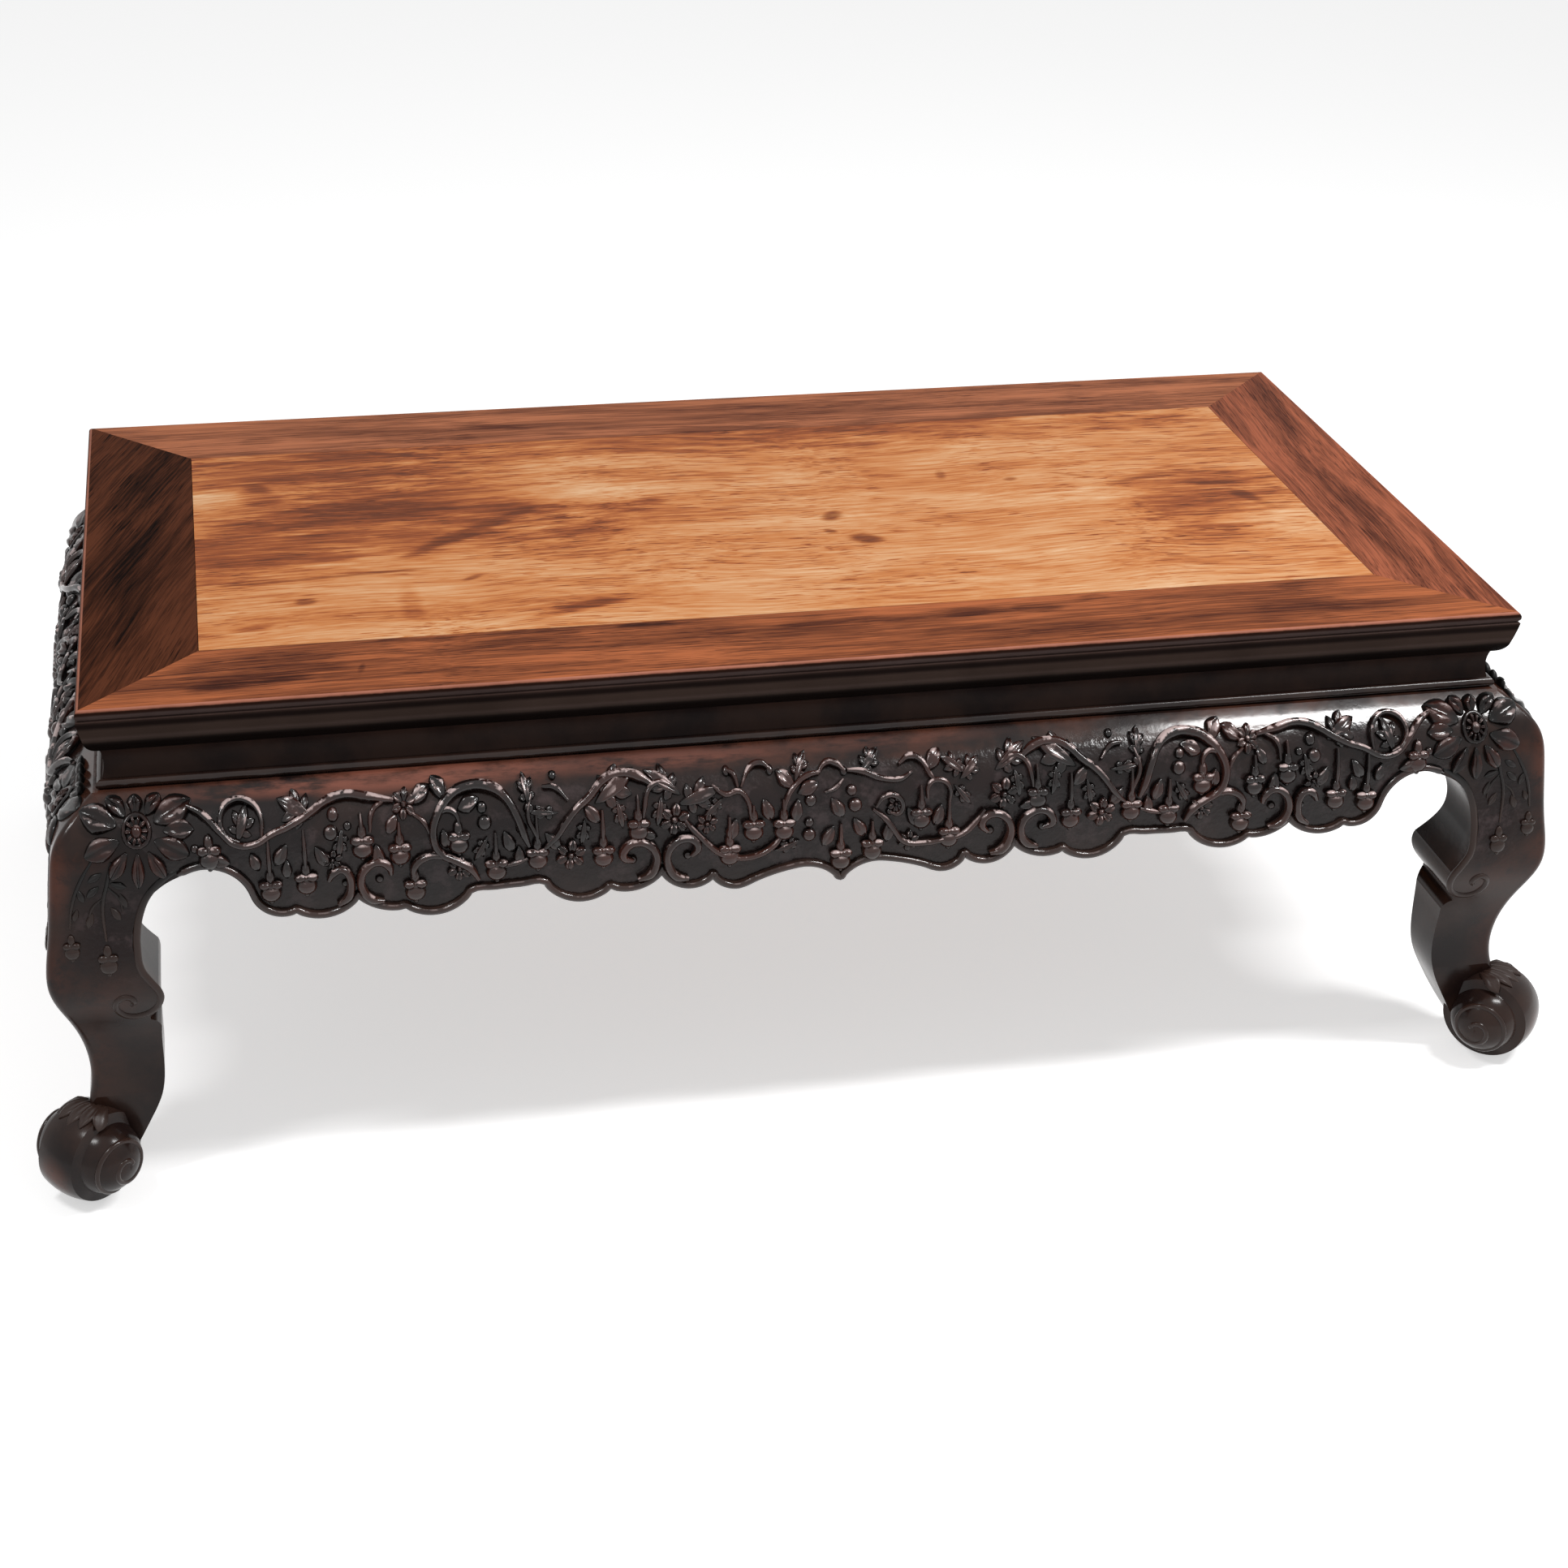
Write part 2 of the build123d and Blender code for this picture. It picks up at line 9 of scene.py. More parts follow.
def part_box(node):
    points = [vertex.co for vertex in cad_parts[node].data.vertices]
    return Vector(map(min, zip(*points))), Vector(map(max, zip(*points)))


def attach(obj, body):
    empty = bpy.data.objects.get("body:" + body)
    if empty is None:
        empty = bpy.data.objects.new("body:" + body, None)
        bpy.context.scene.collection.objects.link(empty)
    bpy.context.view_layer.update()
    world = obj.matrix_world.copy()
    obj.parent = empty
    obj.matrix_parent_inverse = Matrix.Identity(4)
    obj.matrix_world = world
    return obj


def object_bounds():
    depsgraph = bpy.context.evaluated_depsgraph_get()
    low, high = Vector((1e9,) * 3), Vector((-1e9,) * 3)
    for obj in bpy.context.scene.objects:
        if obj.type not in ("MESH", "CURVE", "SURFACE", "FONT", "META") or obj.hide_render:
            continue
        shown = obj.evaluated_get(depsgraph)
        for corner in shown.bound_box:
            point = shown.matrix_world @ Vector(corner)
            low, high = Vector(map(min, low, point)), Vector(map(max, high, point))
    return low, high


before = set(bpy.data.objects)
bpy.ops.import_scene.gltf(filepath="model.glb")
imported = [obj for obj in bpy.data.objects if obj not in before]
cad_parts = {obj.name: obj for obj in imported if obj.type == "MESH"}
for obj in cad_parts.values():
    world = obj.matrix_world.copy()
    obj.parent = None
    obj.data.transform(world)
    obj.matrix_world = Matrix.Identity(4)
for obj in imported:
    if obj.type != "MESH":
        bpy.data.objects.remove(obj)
cad_low, cad_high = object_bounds()

# ---- View ----
# A long lens looks down on the table from its front left. The camera comes first, and no shift or
# depth of field is needed.
CAMERA_PLACE = (-0.34805, -1.62600, 1.01923)
CAMERA_RIGHT = Vector((0.97795, -0.20713, 0.02661))
CAMERA_FORWARD = Vector((0.19443, 0.85659, -0.47796))
LENS = 60.4
SENSOR = 36.0

bpy.ops.object.select_all(action="DESELECT")
bpy.ops.object.camera_add(location=CAMERA_PLACE)
camera = bpy.context.object
forward = CAMERA_FORWARD.normalized()
upward = CAMERA_RIGHT.cross(forward).normalized()
turned = Matrix((forward.cross(upward), upward, -forward)).transposed()
camera.matrix_world = Matrix.Translation(CAMERA_PLACE) @ turned.to_4x4()
camera.data.lens = LENS
camera.data.sensor_width = SENSOR
bpy.context.scene.camera = camera

# ---- Studio ----
# A pale floor under a plain white room, with two narrow soft boxes high over its ends. Only what is
# seen directly or in a gloss is lifted to white.
FLOOR_SIZE = 24.0
FLOOR_COLOUR = (0.86, 0.86, 0.86, 1)
FLOOR_LIFT = 0.54
ROOM_LIGHT = 0.36
ROOM_WHITE = 1.0
WHITE = (1, 1, 1, 1)
# The lamps aim at the middle of the table's upper face.
TOP = cad_high.z
# Each soft box: its place, its length and width, and its power.
SOFT_BOXES = {
    "right_soft_box": ((1.16, -0.58, 1.85), 0.70, 0.21, 29.0),
    "left_soft_box": ((-1.00, -0.62, 1.85), 0.42, 0.22, 12.0),
}


def put(tree, kind, sockets=(), **settings):
    """A shader node with its settings made and its sockets set or linked."""
    node = tree.nodes.new("ShaderNode" + kind)
    for name, value in settings.items():
        setattr(node, name, value)
    for key, value in dict(sockets).items():
        if isinstance(value, bpy.types.NodeSocket):
            tree.links.new(value, node.inputs[key])
        else:
            node.inputs[key].default_value = value
    return node


def calc(tree, operation, *values):
    """One sum of numbers."""
    return put(tree, "Math", enumerate(values), operation=operation).outputs[0]


def seen_directly(tree):
    """1 for camera, glossy and transmission rays, 0 for the rest."""
    path = put(tree, "LightPath").outputs
    seen = calc(tree, "MAXIMUM", path["Is Camera Ray"], path["Is Glossy Ray"])
    return calc(tree, "MAXIMUM", seen, path["Is Transmission Ray"])


def empty_material(name):
    """A material with an output node alone."""
    material = bpy.data.materials.new(name)
    material.use_nodes = True
    material.node_tree.nodes.clear()
    return material, material.node_tree, put(material.node_tree, "OutputMaterial")


room = bpy.data.worlds.new("room")
bpy.context.scene.world = room
room.use_nodes = True
room.node_tree.nodes.clear()
lighting = put(room.node_tree, "Background", {"Color": WHITE, "Strength": ROOM_LIGHT})
shown = put(room.node_tree, "Background", {"Color": WHITE, "Strength": ROOM_WHITE})
both = put(room.node_tree, "MixShader", {
    0: seen_directly(room.node_tree), 1: lighting.outputs[0], 2: shown.outputs[0]})
put(room.node_tree, "OutputWorld", {"Surface": both.outputs[0]})

bpy.ops.object.select_all(action="DESELECT")
bpy.ops.mesh.primitive_plane_add(size=FLOOR_SIZE)
floor = bpy.context.object
floor.name = "floor"
floor_paint, tree, surface = empty_material("floor_paint")
matt = put(tree, "BsdfDiffuse", {"Color": FLOOR_COLOUR})
lift = put(tree, "Emission", {
    "Color": WHITE, "Strength": calc(tree, "MULTIPLY", seen_directly(tree), FLOOR_LIFT)})
lifted = put(tree, "AddShader", {0: matt.outputs[0], 1: lift.outputs[0]})
tree.links.new(lifted.outputs[0], surface.inputs["Surface"])
floor.data.materials.append(floor_paint)

for name, (place, length, width, power) in SOFT_BOXES.items():
    bpy.ops.object.light_add(type="AREA", location=place)
    lamp = bpy.context.object
    lamp.name = name
    lamp.data.shape = "RECTANGLE"
    lamp.data.size = length
    lamp.data.size_y = width
    lamp.data.energy = power
    down = (Vector((0, 0, TOP)) - Vector(place)).normalized()
    across = down.cross(Vector((0, 1, 0))).normalized()
    turned = Matrix((across, down.cross(across), -down)).transposed()
    lamp.matrix_world = Matrix.Translation(place) @ turned.to_4x4()

bpy.context.scene.view_settings.view_transform = "Standard"

# ---- Top panel ----
# One wide board of a honey coloured hardwood, planed flush with its frame, waxed and rubbed. The
# grain runs along it, with knots near the middle and darker, redder stains.
MM = 0.001
UMBER = (0.070, 0.022, 0.012, 1)
# Pale patches: middle x and y, half length, half width in millimetres, turn in degrees, strength.
PANEL_PALE = [(60, -10, 190, 100, 0, 0.9), (200, 25, 150, 80, 0, 0.8), (345, -110, 60, 45, 10, 0.45),
              (-40, -110, 240, 50, 0, 0.4), (150, 110, 180, 30, 0, 0.35)]
# Russet stains, and the darkest streaks and knots, in the same terms.
PANEL_RUSSET = [(310, -5, 72, 64, -20, 0.72), (298, -76, 50, 20, 5, 0.6), (-250, 15, 170, 66, 6, 1.0),
                (-205, -4, 72, 11, 37, 0.9), (-140, -128, 44, 9, 20, 0.95), (-72, 35, 16, 11, 20, 0.6),
                (-345, -131, 18, 8, 10, 0.7), (-247, -110, 9, 34, 0, 0.45), (-240, 55, 120, 32, 3, 0.75),
                (-335, 85, 22, 34, 30, 0.7), (0, 152, 440, 50, 0, 0.85), (-310, 125, 170, 56, 0, 0.95),
                (97, 108, 20, 13, 15, 0.4), (100, 60, 22, 12, 0, 0.45), (-335, -15, 95, 70, 0, 0.9),
                (-60, 75, 90, 22, -12, 0.45)]
PANEL_UMBER = [(47, -9, 13, 8.5, 55, 1.0), (61, -51, 14, 10, -30, 0.9), (40, -35, 6, 4, -30, 0.7),
               (187, 38, 7, 5, 20, 0.6), (-205, -75, 9, 3.5, 30, 0.6), (-312, -97, 7, 5, 0, 0.6),
               (-205, 42, 78, 4, 2, 0.35), (-200, 66, 46, 5, 6, 0.25), (-296, -61, 95, 2.6, 4, 0.6),
               (322, 13, 26, 5, -12, 0.5), (345, -18, 8, 24, 30, 0.5), (285, 28, 30, 5, 8, 0.45),
               (-335, 95, 10, 14, 40, 0.5), (140, 53, 5, 11, -10, 0.45), (60, 69, 6, 3, 0, 0.45),
               (-20, 163, 95, 4, -3, 0.6), (232, 40, 16, 3, -25, 0.4), (-203, -4, 66, 9, 37, 0.5),
               (-178, 18, 22, 5, 37, 0.35)]
# The wood's colours from its darkest to its lightest grain.
PANEL_STOPS = [(0.0, (0.120, 0.033, 0.014)), (0.14, (0.200, 0.053, 0.019)), (0.28, (0.29, 0.079, 0.026)),
               (0.42, (0.42, 0.135, 0.042)), (0.55, (0.52, 0.195, 0.063)), (0.70, (0.58, 0.27, 0.115)),
               (0.86, (0.63, 0.345, 0.175)), (1.0, (0.70, 0.44, 0.26))]
# How the grain is drawn out, and how much each part of it counts in the tone.
PANEL_GRAIN = {"Along": 6.0, "Across": 38.0, "Wave": 0.05}
PANEL_WEIGHTS = {"Figure": 0.75, "Streak": 0.95, "Fibre": 1.1, "Pore": -0.32}
# The tone of clear wood, and how far each kind of patch lifts or lowers it.
PANEL_TONE = 0.48
PALE_LIFT = 0.06
RUSSET_DROP = -0.45
UMBER_DROP = -0.40
UMBER_SHARE = 0.45
# How ragged the stains and the knots are at their edge.
STAIN_FRAY = 2.2
KNOT_FRAY = 1.2
# The dark line where the board meets its frame.
JOINT_WIDTH = 0.9 * MM
JOINT_DROP = -0.4
PANEL_GLOSS = 0.02


def group(name, inputs, outputs):
    """An empty shader group with its sockets, and its two ends."""
    made = bpy.data.node_groups.new(name, "ShaderNodeTree")
    for socket, kind, value in inputs:
        given = made.interface.new_socket(socket, in_out="INPUT", socket_type="NodeSocket" + kind)
        given.default_value = value
    for socket in outputs:
        made.interface.new_socket(socket, in_out="OUTPUT", socket_type="NodeSocketFloat")
    return made, made.nodes.new("NodeGroupInput").outputs, made.nodes.new("NodeGroupOutput")


def vector(tree, operation, *values):
    """One sum of vectors."""
    return put(tree, "VectorMath", enumerate(values), operation=operation).outputs[0]


def ramp(tree, value, low, high):
    """0 below low, 1 above high, smooth between."""
    return put(tree, "MapRange", {"Value": value, "From Min": low, "From Max": high},
               interpolation_type="SMOOTHSTEP").outputs[0]


def noise(tree, place, scale, detail=3.0, roughness=0.55):
    """Value of a noise at a place."""
    return put(tree, "TexNoise", {
        "Vector": place, "Scale": scale, "Detail": detail, "Roughness": roughness}).outputs[0]


def tint(tree, share, under, over, blend="MIX"):
    """One colour laid over another."""
    mixed = put(tree, "Mix", {0: share, 6: under, 7: over}, data_type="RGBA", blend_type=blend)
    return mixed.outputs[2]


def spun(tree, place, angle):
    """A place turned about the upright through the origin."""
    return put(tree, "VectorRotate", {"Vector": place, "Angle": angle},
               rotation_type="Z_AXIS").outputs[0]


def grain_group():
    """Wood grain along X: broad figure, streaks, fibres and pores."""
    made, given, out = group(
        "wood_grain",
        [("Place", "Vector", (0, 0, 0)), ("Along", "Float", 2.4), ("Across", "Float", 34.0),
         ("Wave", "Float", 0.02)],
        ("Figure", "Streak", "Fibre", "Pore"))
    drift = put(made, "TexNoise", {"Vector": given["Place"], "Scale": 3.2, "Detail": 2.0})
    drift = vector(made, "SUBTRACT", drift.outputs["Color"], (0.5, 0.5, 0.5))
    drift = put(made, "VectorMath", {0: drift, "Scale": given["Wave"]}, operation="SCALE")
    warped = vector(made, "ADD", given["Place"], drift.outputs[0])
    stretch = put(made, "CombineXYZ", {0: given["Along"], 1: given["Across"], 2: given["Across"]})
    drawn = vector(made, "MULTIPLY", warped, stretch.outputs[0])
    pores = ramp(made, noise(made, vector(made, "MULTIPLY", drawn, (8, 17, 17)), 1.0, 1.0), 0.57, 0.65)
    results = {
        "Figure": noise(made, vector(made, "MULTIPLY", drawn, (0.9, 0.34, 0.34)), 1.0, 3.0),
        "Streak": noise(made, drawn, 1.0, 5.0, 0.62),
        "Fibre": noise(made, vector(made, "MULTIPLY", drawn, (3.0, 9.0, 9.0)), 1.0, 3.0, 0.7),
        "Pore": calc(made, "MULTIPLY", pores, ramp(made, noise(made, warped, 11.0), 0.38, 0.58)),
    }
    for name, value in results.items():
        made.links.new(value, out.inputs[name])
    return made


def stain_group():
    """A ragged patch over what lies under: 1 at its middle, 0 outside, drawn out along its own turn."""
    made, given, out = group(
        "stain",
        [("Under", "Float", 0.0), ("Place", "Vector", (0, 0, 0)), ("Torn", "Float", 0.0),
         ("Middle", "Vector", (0, 0, 0)), ("Half size", "Vector", (1, 1, 1)), ("Turn", "Float", 0.0),
         ("Strength", "Float", 1.0)],
        ("Mask",))
    moved = vector(made, "SUBTRACT", given["Place"], given["Middle"])
    shares = vector(made, "DIVIDE", spun(made, moved, given["Turn"]), given["Half size"])
    reach = put(made, "VectorMath", {0: shares}, operation="LENGTH").outputs["Value"]
    inside = ramp(made, calc(made, "ADD", reach, given["Torn"]), 1.1, 0.25)
    mask = calc(made, "MAXIMUM", given["Under"], calc(made, "MULTIPLY", inside, given["Strength"]))
    made.links.new(mask, out.inputs["Mask"])
    return made


GRAIN = grain_group()
STAIN = stain_group()


def put_group(tree, made, sockets):
    """A group node with its sockets set or linked."""
    return put(tree, "Group", sockets, node_tree=made).outputs


def stains(tree, place, torn, patches):
    """All patches of one list together, the strongest winning. Sizes in millimetres."""
    total = 0.0
    for x, y, half_length, half_width, turn, strength in patches:
        total = put_group(tree, STAIN, {
            "Under": total, "Place": place, "Torn": torn, "Middle": (x * MM, y * MM, TOP),
            "Half size": (half_length * MM, half_width * MM, 1), "Turn": math.radians(-turn),
            "Strength": strength})["Mask"]
    return total


def torn_edge(tree, place, amount=3.0):
    """What frays the edge of the patches."""
    drawn = vector(tree, "MULTIPLY", place, (14, 70, 70))
    return calc(tree, "MULTIPLY", calc(tree, "SUBTRACT", noise(tree, drawn, 1.0, 4.0, 0.65), 0.5), amount)


def object_place(tree):
    """Object coordinates, which are the table's own."""
    return put(tree, "TexCoord").outputs["Object"]


def upright(tree, place):
    """The upright part of a place or of a direction."""
    return put(tree, "SeparateXYZ", {0: place}).outputs[2]


def wood(tree, surface, colour, roughness, height, gloss, bump=0.12):
    """The wood's shader: colour, roughness and fine relief change over the surface."""
    relief = put(tree, "Bump", {"Strength": bump, "Distance": 0.0006, "Height": height}).outputs[0]
    shader = put(tree, "BsdfPrincipled", {
        "Base Color": colour, "Roughness": roughness, "Normal": relief, "Specular IOR Level": gloss})
    tree.links.new(shader.outputs[0], surface.inputs["Surface"])


def dress(node, material):
    """A carried-over piece takes its finish."""
    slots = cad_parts[node].data.materials
    slots.clear()
    slots.append(material)


def toned(tree, seam, weights, shift, stops):
    """Colour of wood from how light its grain runs: the grain's parts weighed, moved by the patches."""
    tone = shift
    for part, weight in weights.items():
        tone = calc(tree, "MULTIPLY_ADD", calc(tree, "SUBTRACT", seam[part], 0.5), weight, tone)
    scale = put(tree, "ValToRGB", {"Fac": tone})
    marks = scale.color_ramp.elements
    first, *between, last = [(position, (*colour, 1)) for position, colour in stops]
    marks[0].position, marks[0].color = first
    marks[1].position, marks[1].color = last
    for position, colour in between:
        marks.new(position).color = colour
    return scale.outputs["Color"]


def panel_wood():
    """The waxed board with its stains, its knots and the line of its joint."""
    material, tree, surface = empty_material("waxed_panel_wood")
    place = object_place(tree)
    seam = put_group(tree, GRAIN, {"Place": place, **PANEL_GRAIN})
    torn = torn_edge(tree, place, STAIN_FRAY)
    shift = calc(tree, "MULTIPLY_ADD", stains(tree, place, torn, PANEL_PALE), PALE_LIFT, PANEL_TONE)
    shift = calc(tree, "MULTIPLY_ADD", stains(tree, place, torn, PANEL_RUSSET), RUSSET_DROP, shift)
    knots = stains(tree, place, torn_edge(tree, place, KNOT_FRAY), PANEL_UMBER)
    shift = calc(tree, "MULTIPLY_ADD", knots, UMBER_DROP, shift)
    across, deep, _ = put(tree, "SeparateXYZ", {0: vector(tree, "ABSOLUTE", place)}).outputs
    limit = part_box("top_panel")[1]
    joint = calc(tree, "MAXIMUM", ramp(tree, calc(tree, "SUBTRACT", across, limit.x), -JOINT_WIDTH, 0),
                 ramp(tree, calc(tree, "SUBTRACT", deep, limit.y), -JOINT_WIDTH, 0))
    shift = calc(tree, "MULTIPLY_ADD", joint, JOINT_DROP, shift)
    colour = toned(tree, seam, PANEL_WEIGHTS, shift, PANEL_STOPS)
    colour = tint(tree, calc(tree, "MULTIPLY", knots, UMBER_SHARE), colour, UMBER)
    rough = calc(tree, "MULTIPLY_ADD", seam["Fibre"], 0.16, 0.32)
    wood(tree, surface, colour, rough, calc(tree, "SUBTRACT", seam["Fibre"], seam["Pore"]), PANEL_GLOSS)
    return material


dress("top_panel", panel_wood())

# ---- Top frame ----
# Four rails of a redder wood round the panel, mitred at the corners. Their upper face is waxed like
# the panel, and the moulded edge below it is dark with old lacquer, rubbed bare along the arris, and
# banded with painted highlights and painted shade.

# The moulded edge's colour down from the top: millimetres below the top, and colour. The pale arris is
# rubbed bare wood with a painted highlight on it; the paler lines on the bead and the band are painted
# highlights, and the dark lines in the grooves and under the band are painted shade.
EDGE_WEAR_AND_PAINTED_LIGHT = [(0.0, (0.42, 0.170, 0.115)), (0.9, (0.30, 0.115, 0.075)), (1.7, (0.018, 0.007, 0.0045)),
              (2.8, (0.018, 0.008, 0.006)), (4.0, (0.070, 0.048, 0.044)), (6.0, (0.070, 0.046, 0.042)),
              (7.4, (0.040, 0.024, 0.020)), (9.4, (0.012, 0.007, 0.006)), (11.3, (0.012, 0.007, 0.006)),
              (13.5, (0.050, 0.032, 0.026)), (17.5, (0.048, 0.031, 0.025)), (19.5, (0.066, 0.044, 0.038)),
              (21.2, (0.046, 0.031, 0.026)), (22.8, (0.011, 0.007, 0.006)), (24.0, (0.006, 0.004, 0.0035))]
FRONT_STAINS = [(-110, -163, 26, 6, 0, 0.75), (95, -172, 34, 9, -8, 0.8), (143, -175, 20, 8, -10, 0.8),
                (178, -164, 22, 7, 5, 0.95), (322, -166, 44, 8, 4, 0.45), (-330, -190, 80, 24, 0, 0.85),
                (-284, -196, 4, 13, -12, 0.85), (320, -198, 90, 20, 12, 0.2), (10, -176, 60, 5, 0, 0.55),
                (-190, -170, 60, 8, 3, 0.4)]
BACK_STAINS = [(-160, 190, 34, 10, -20, 0.75), (-330, 182, 16, 8, 0, 0.5), (-20, 166, 100, 9, -3, 0.7),
               (260, 178, 60, 9, 8, 0.25), (60, 205, 90, 8, 0, 0.4)]
LEFT_STAINS = [(-415, -90, 34, 150, 0, 0.3)]
RIGHT_STAINS = [(412, -20, 20, 110, 6, 0.6), (405, -110, 10, 50, 8, 0.5)]
# Of each rail: its wood's light and dark colour, the turn of its grain in degrees, its gloss and its
# dark stains.
RAIL_WOODS = {
    "front": ((0.40, 0.120, 0.046), (0.066, 0.018, 0.010), 0, 0.01, FRONT_STAINS),
    "back": ((0.42, 0.148, 0.070), (0.085, 0.023, 0.012), 0, 0.01, BACK_STAINS),
    "left": ((0.092, 0.029, 0.014), (0.006, 0.0025, 0.0018), 72, 0.003, LEFT_STAINS),
    "right": ((0.34, 0.100, 0.050), (0.072, 0.020, 0.011), 86, 0.01, RIGHT_STAINS),
}
RAIL_GRAIN = {"Along": 5.0, "Across": 66.0, "Wave": 0.02}
RAIL_WEIGHTS = {"Figure": 0.85, "Streak": 1.2, "Fibre": 1.25, "Pore": -0.28}
RAIL_TONE = 0.46
RAIL_STAIN_DROP = -0.36
# The levels below the top between which wax gives way to the old lacquer.
LACQUER_FROM = (0.02 * MM, 0.22 * MM)


def rail_wood(name):
    """One rail's waxed wood, with the old lacquer below its arris, banded with painted highlights and
    painted shade.
    """
    light, dark, turn, gloss, patches = RAIL_WOODS[name]
    material, tree, surface = empty_material(name + "_rail_wood")
    place = object_place(tree)
    lined = spun(tree, place, math.radians(-turn))
    seam = put_group(tree, GRAIN, {"Place": lined, **RAIL_GRAIN})
    dark_patches = stains(tree, place, torn_edge(tree, lined), patches)
    shift = calc(tree, "MULTIPLY_ADD", dark_patches, RAIL_STAIN_DROP, RAIL_TONE)
    middling = [d * 0.5 + l * 0.42 for d, l in zip(dark, light)]
    stops = [(0.0, [d * 0.5 for d in dark]), (0.22, dark), (0.52, middling), (0.85, light)]
    colour = toned(tree, seam, RAIL_WEIGHTS, shift, stops)
    height = upright(tree, place)
    waver = calc(tree, "SUBTRACT", noise(tree, place, 42.0, 4.0, 0.7), 0.5)
    below = calc(tree, "SUBTRACT", TOP, calc(tree, "MULTIPLY_ADD", waver, -1.0 * MM, height))
    lowest = EDGE_WEAR_AND_PAINTED_LIGHT[-1][0]
    stops = [(drop / lowest, tone) for drop, tone in EDGE_WEAR_AND_PAINTED_LIGHT]
    # Painted highlights and painted shade: the edge's colour is set by depth below the top, pale on the
    # bead and the band, dark in the grooves and under the band.
    old = toned(tree, {}, {}, calc(tree, "DIVIDE", below, lowest * MM), stops)
    cloudy = calc(tree, "MULTIPLY_ADD", noise(tree, lined, 16.0, 4.0), 1.0, 0.5)
    cloudy = put(tree, "CombineColor", {0: cloudy, 1: cloudy, 2: cloudy}).outputs[0]
    old = tint(tree, 1.0, old, cloudy, "MULTIPLY")
    colour = tint(tree, ramp(tree, calc(tree, "SUBTRACT", TOP, height), *LACQUER_FROM), colour, old)
    rough = calc(tree, "MULTIPLY_ADD", seam["Fibre"], 0.2, 0.27)
    wood(tree, surface, colour, rough, calc(tree, "SUBTRACT", seam["Fibre"], seam["Pore"]), gloss)
    return material


for name in RAIL_WOODS:
    dress(name + "_top_rail", rail_wood(name))

# ---- Battens ----
# Three plain bearers of a lighter wood, planed and left unfinished. They are dovetailed across the
# underside of the panel and tenoned into the long rails.
BATTEN_LIGHT = (0.21, 0.105, 0.055, 1)
BATTEN_DARK = (0.085, 0.040, 0.022, 1)
BATTEN_GRAIN = {"Along": 4.0, "Across": 90.0, "Wave": 0.02}


def batten_wood():
    """Bare wood whose grain runs across the table."""
    material, tree, surface = empty_material("plain_batten_wood")
    lined = spun(tree, object_place(tree), math.radians(-90))
    seam = put_group(tree, GRAIN, {"Place": lined, **BATTEN_GRAIN})
    colour = tint(tree, ramp(tree, seam["Streak"], 0.35, 0.65), BATTEN_LIGHT, BATTEN_DARK)
    colour = tint(tree, calc(tree, "MULTIPLY", seam["Pore"], 0.5), colour, UMBER)
    rough = calc(tree, "MULTIPLY_ADD", seam["Fibre"], 0.2, 0.6)
    wood(tree, surface, colour, rough, seam["Fibre"], 0.2, 0.3)
    return material


plain_wood = batten_wood()
for name in [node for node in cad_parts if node.startswith("batten")]:
    dress(name, plain_wood)

# ---- Waist, aprons and legs: the dark finish ----
# Dense dark wood under an old brown-black lacquer. Use has polished the swelling band above the
# carving and rubbed the knees and toes down to a red brown; dust has dulled the ground of the carving.
LACQUER = (0.0095, 0.0052, 0.0048, 1)
LACQUER_BROWN = (0.030, 0.0150, 0.0110, 1)
RUBBED_RED = (0.085, 0.026, 0.0145, 1)
GROUND_DEEP = (0.0060, 0.0020, 0.0022, 1)
GROUND_DULL = (0.044, 0.029, 0.030, 1)
# The polished band's lower edge: its level, how blurred it is, and how far it wavers.
BAND_LOW = TOP - 66 * MM
BAND_BLUR = 2 * MM
BAND_WAVER = 5 * MM
DUST_SHARE = 0.85
DUST_ROUGH = 0.20
CHISEL_DEPTH = 16.0
# Where the carved ground has stayed dull, on an apron and on a leg: middle, half size, strength.
APRON_GROUND = [((0, 240, 225), (900, 60, 58), 1.0), ((460, 0, 225), (60, 900, 58), 1.0)]
LEG_GROUND = [((440, 258, 190), (34, 16, 44), 1.0), ((479, 219, 190), (16, 34, 44), 1.0)]
# Bare red rubs on the band at the front left: middle, half size, strength.
BAND_REDS = [((-270, -232, 264.5), (160, 24, 6.5), 1.0), ((-110, -234, 264), (110, 24, 6), 0.6),
             ((20, -232, 265), (110, 20, 5), 0.3)]
BARE_RED = (0.21, 0.070, 0.045, 1)
# Red rubs of one corner, mirrored to all four, in the same terms.
KNEE_RUBS = [((474, 250, 228), (16, 60, 34), 0.9), ((482, 262, 168), (26, 26, 40), 0.45),
             ((450, 252, 150), (30, 20, 26), 0.4), ((462, 240, 95), (22, 22, 40), 0.35),
             ((494, 272, 24), (17, 17, 20), 1.0), ((455, 255, 236), (30, 18, 10), 0.3)]


def rubs(tree, place, patches):
    """Soft rubbed patches, the strongest winning. Sizes in millimetres."""
    total = None
    for middle, half, strength in patches:
        away = vector(tree, "SUBTRACT", place, [c * MM for c in middle])
        away = vector(tree, "DIVIDE", away, [c * MM for c in half])
        reach = put(tree, "VectorMath", {0: away}, operation="LENGTH").outputs["Value"]
        mask = calc(tree, "MULTIPLY", ramp(tree, reach, 1.1, 0.2), strength)
        total = mask if total is None else calc(tree, "MAXIMUM", total, mask)
    return total


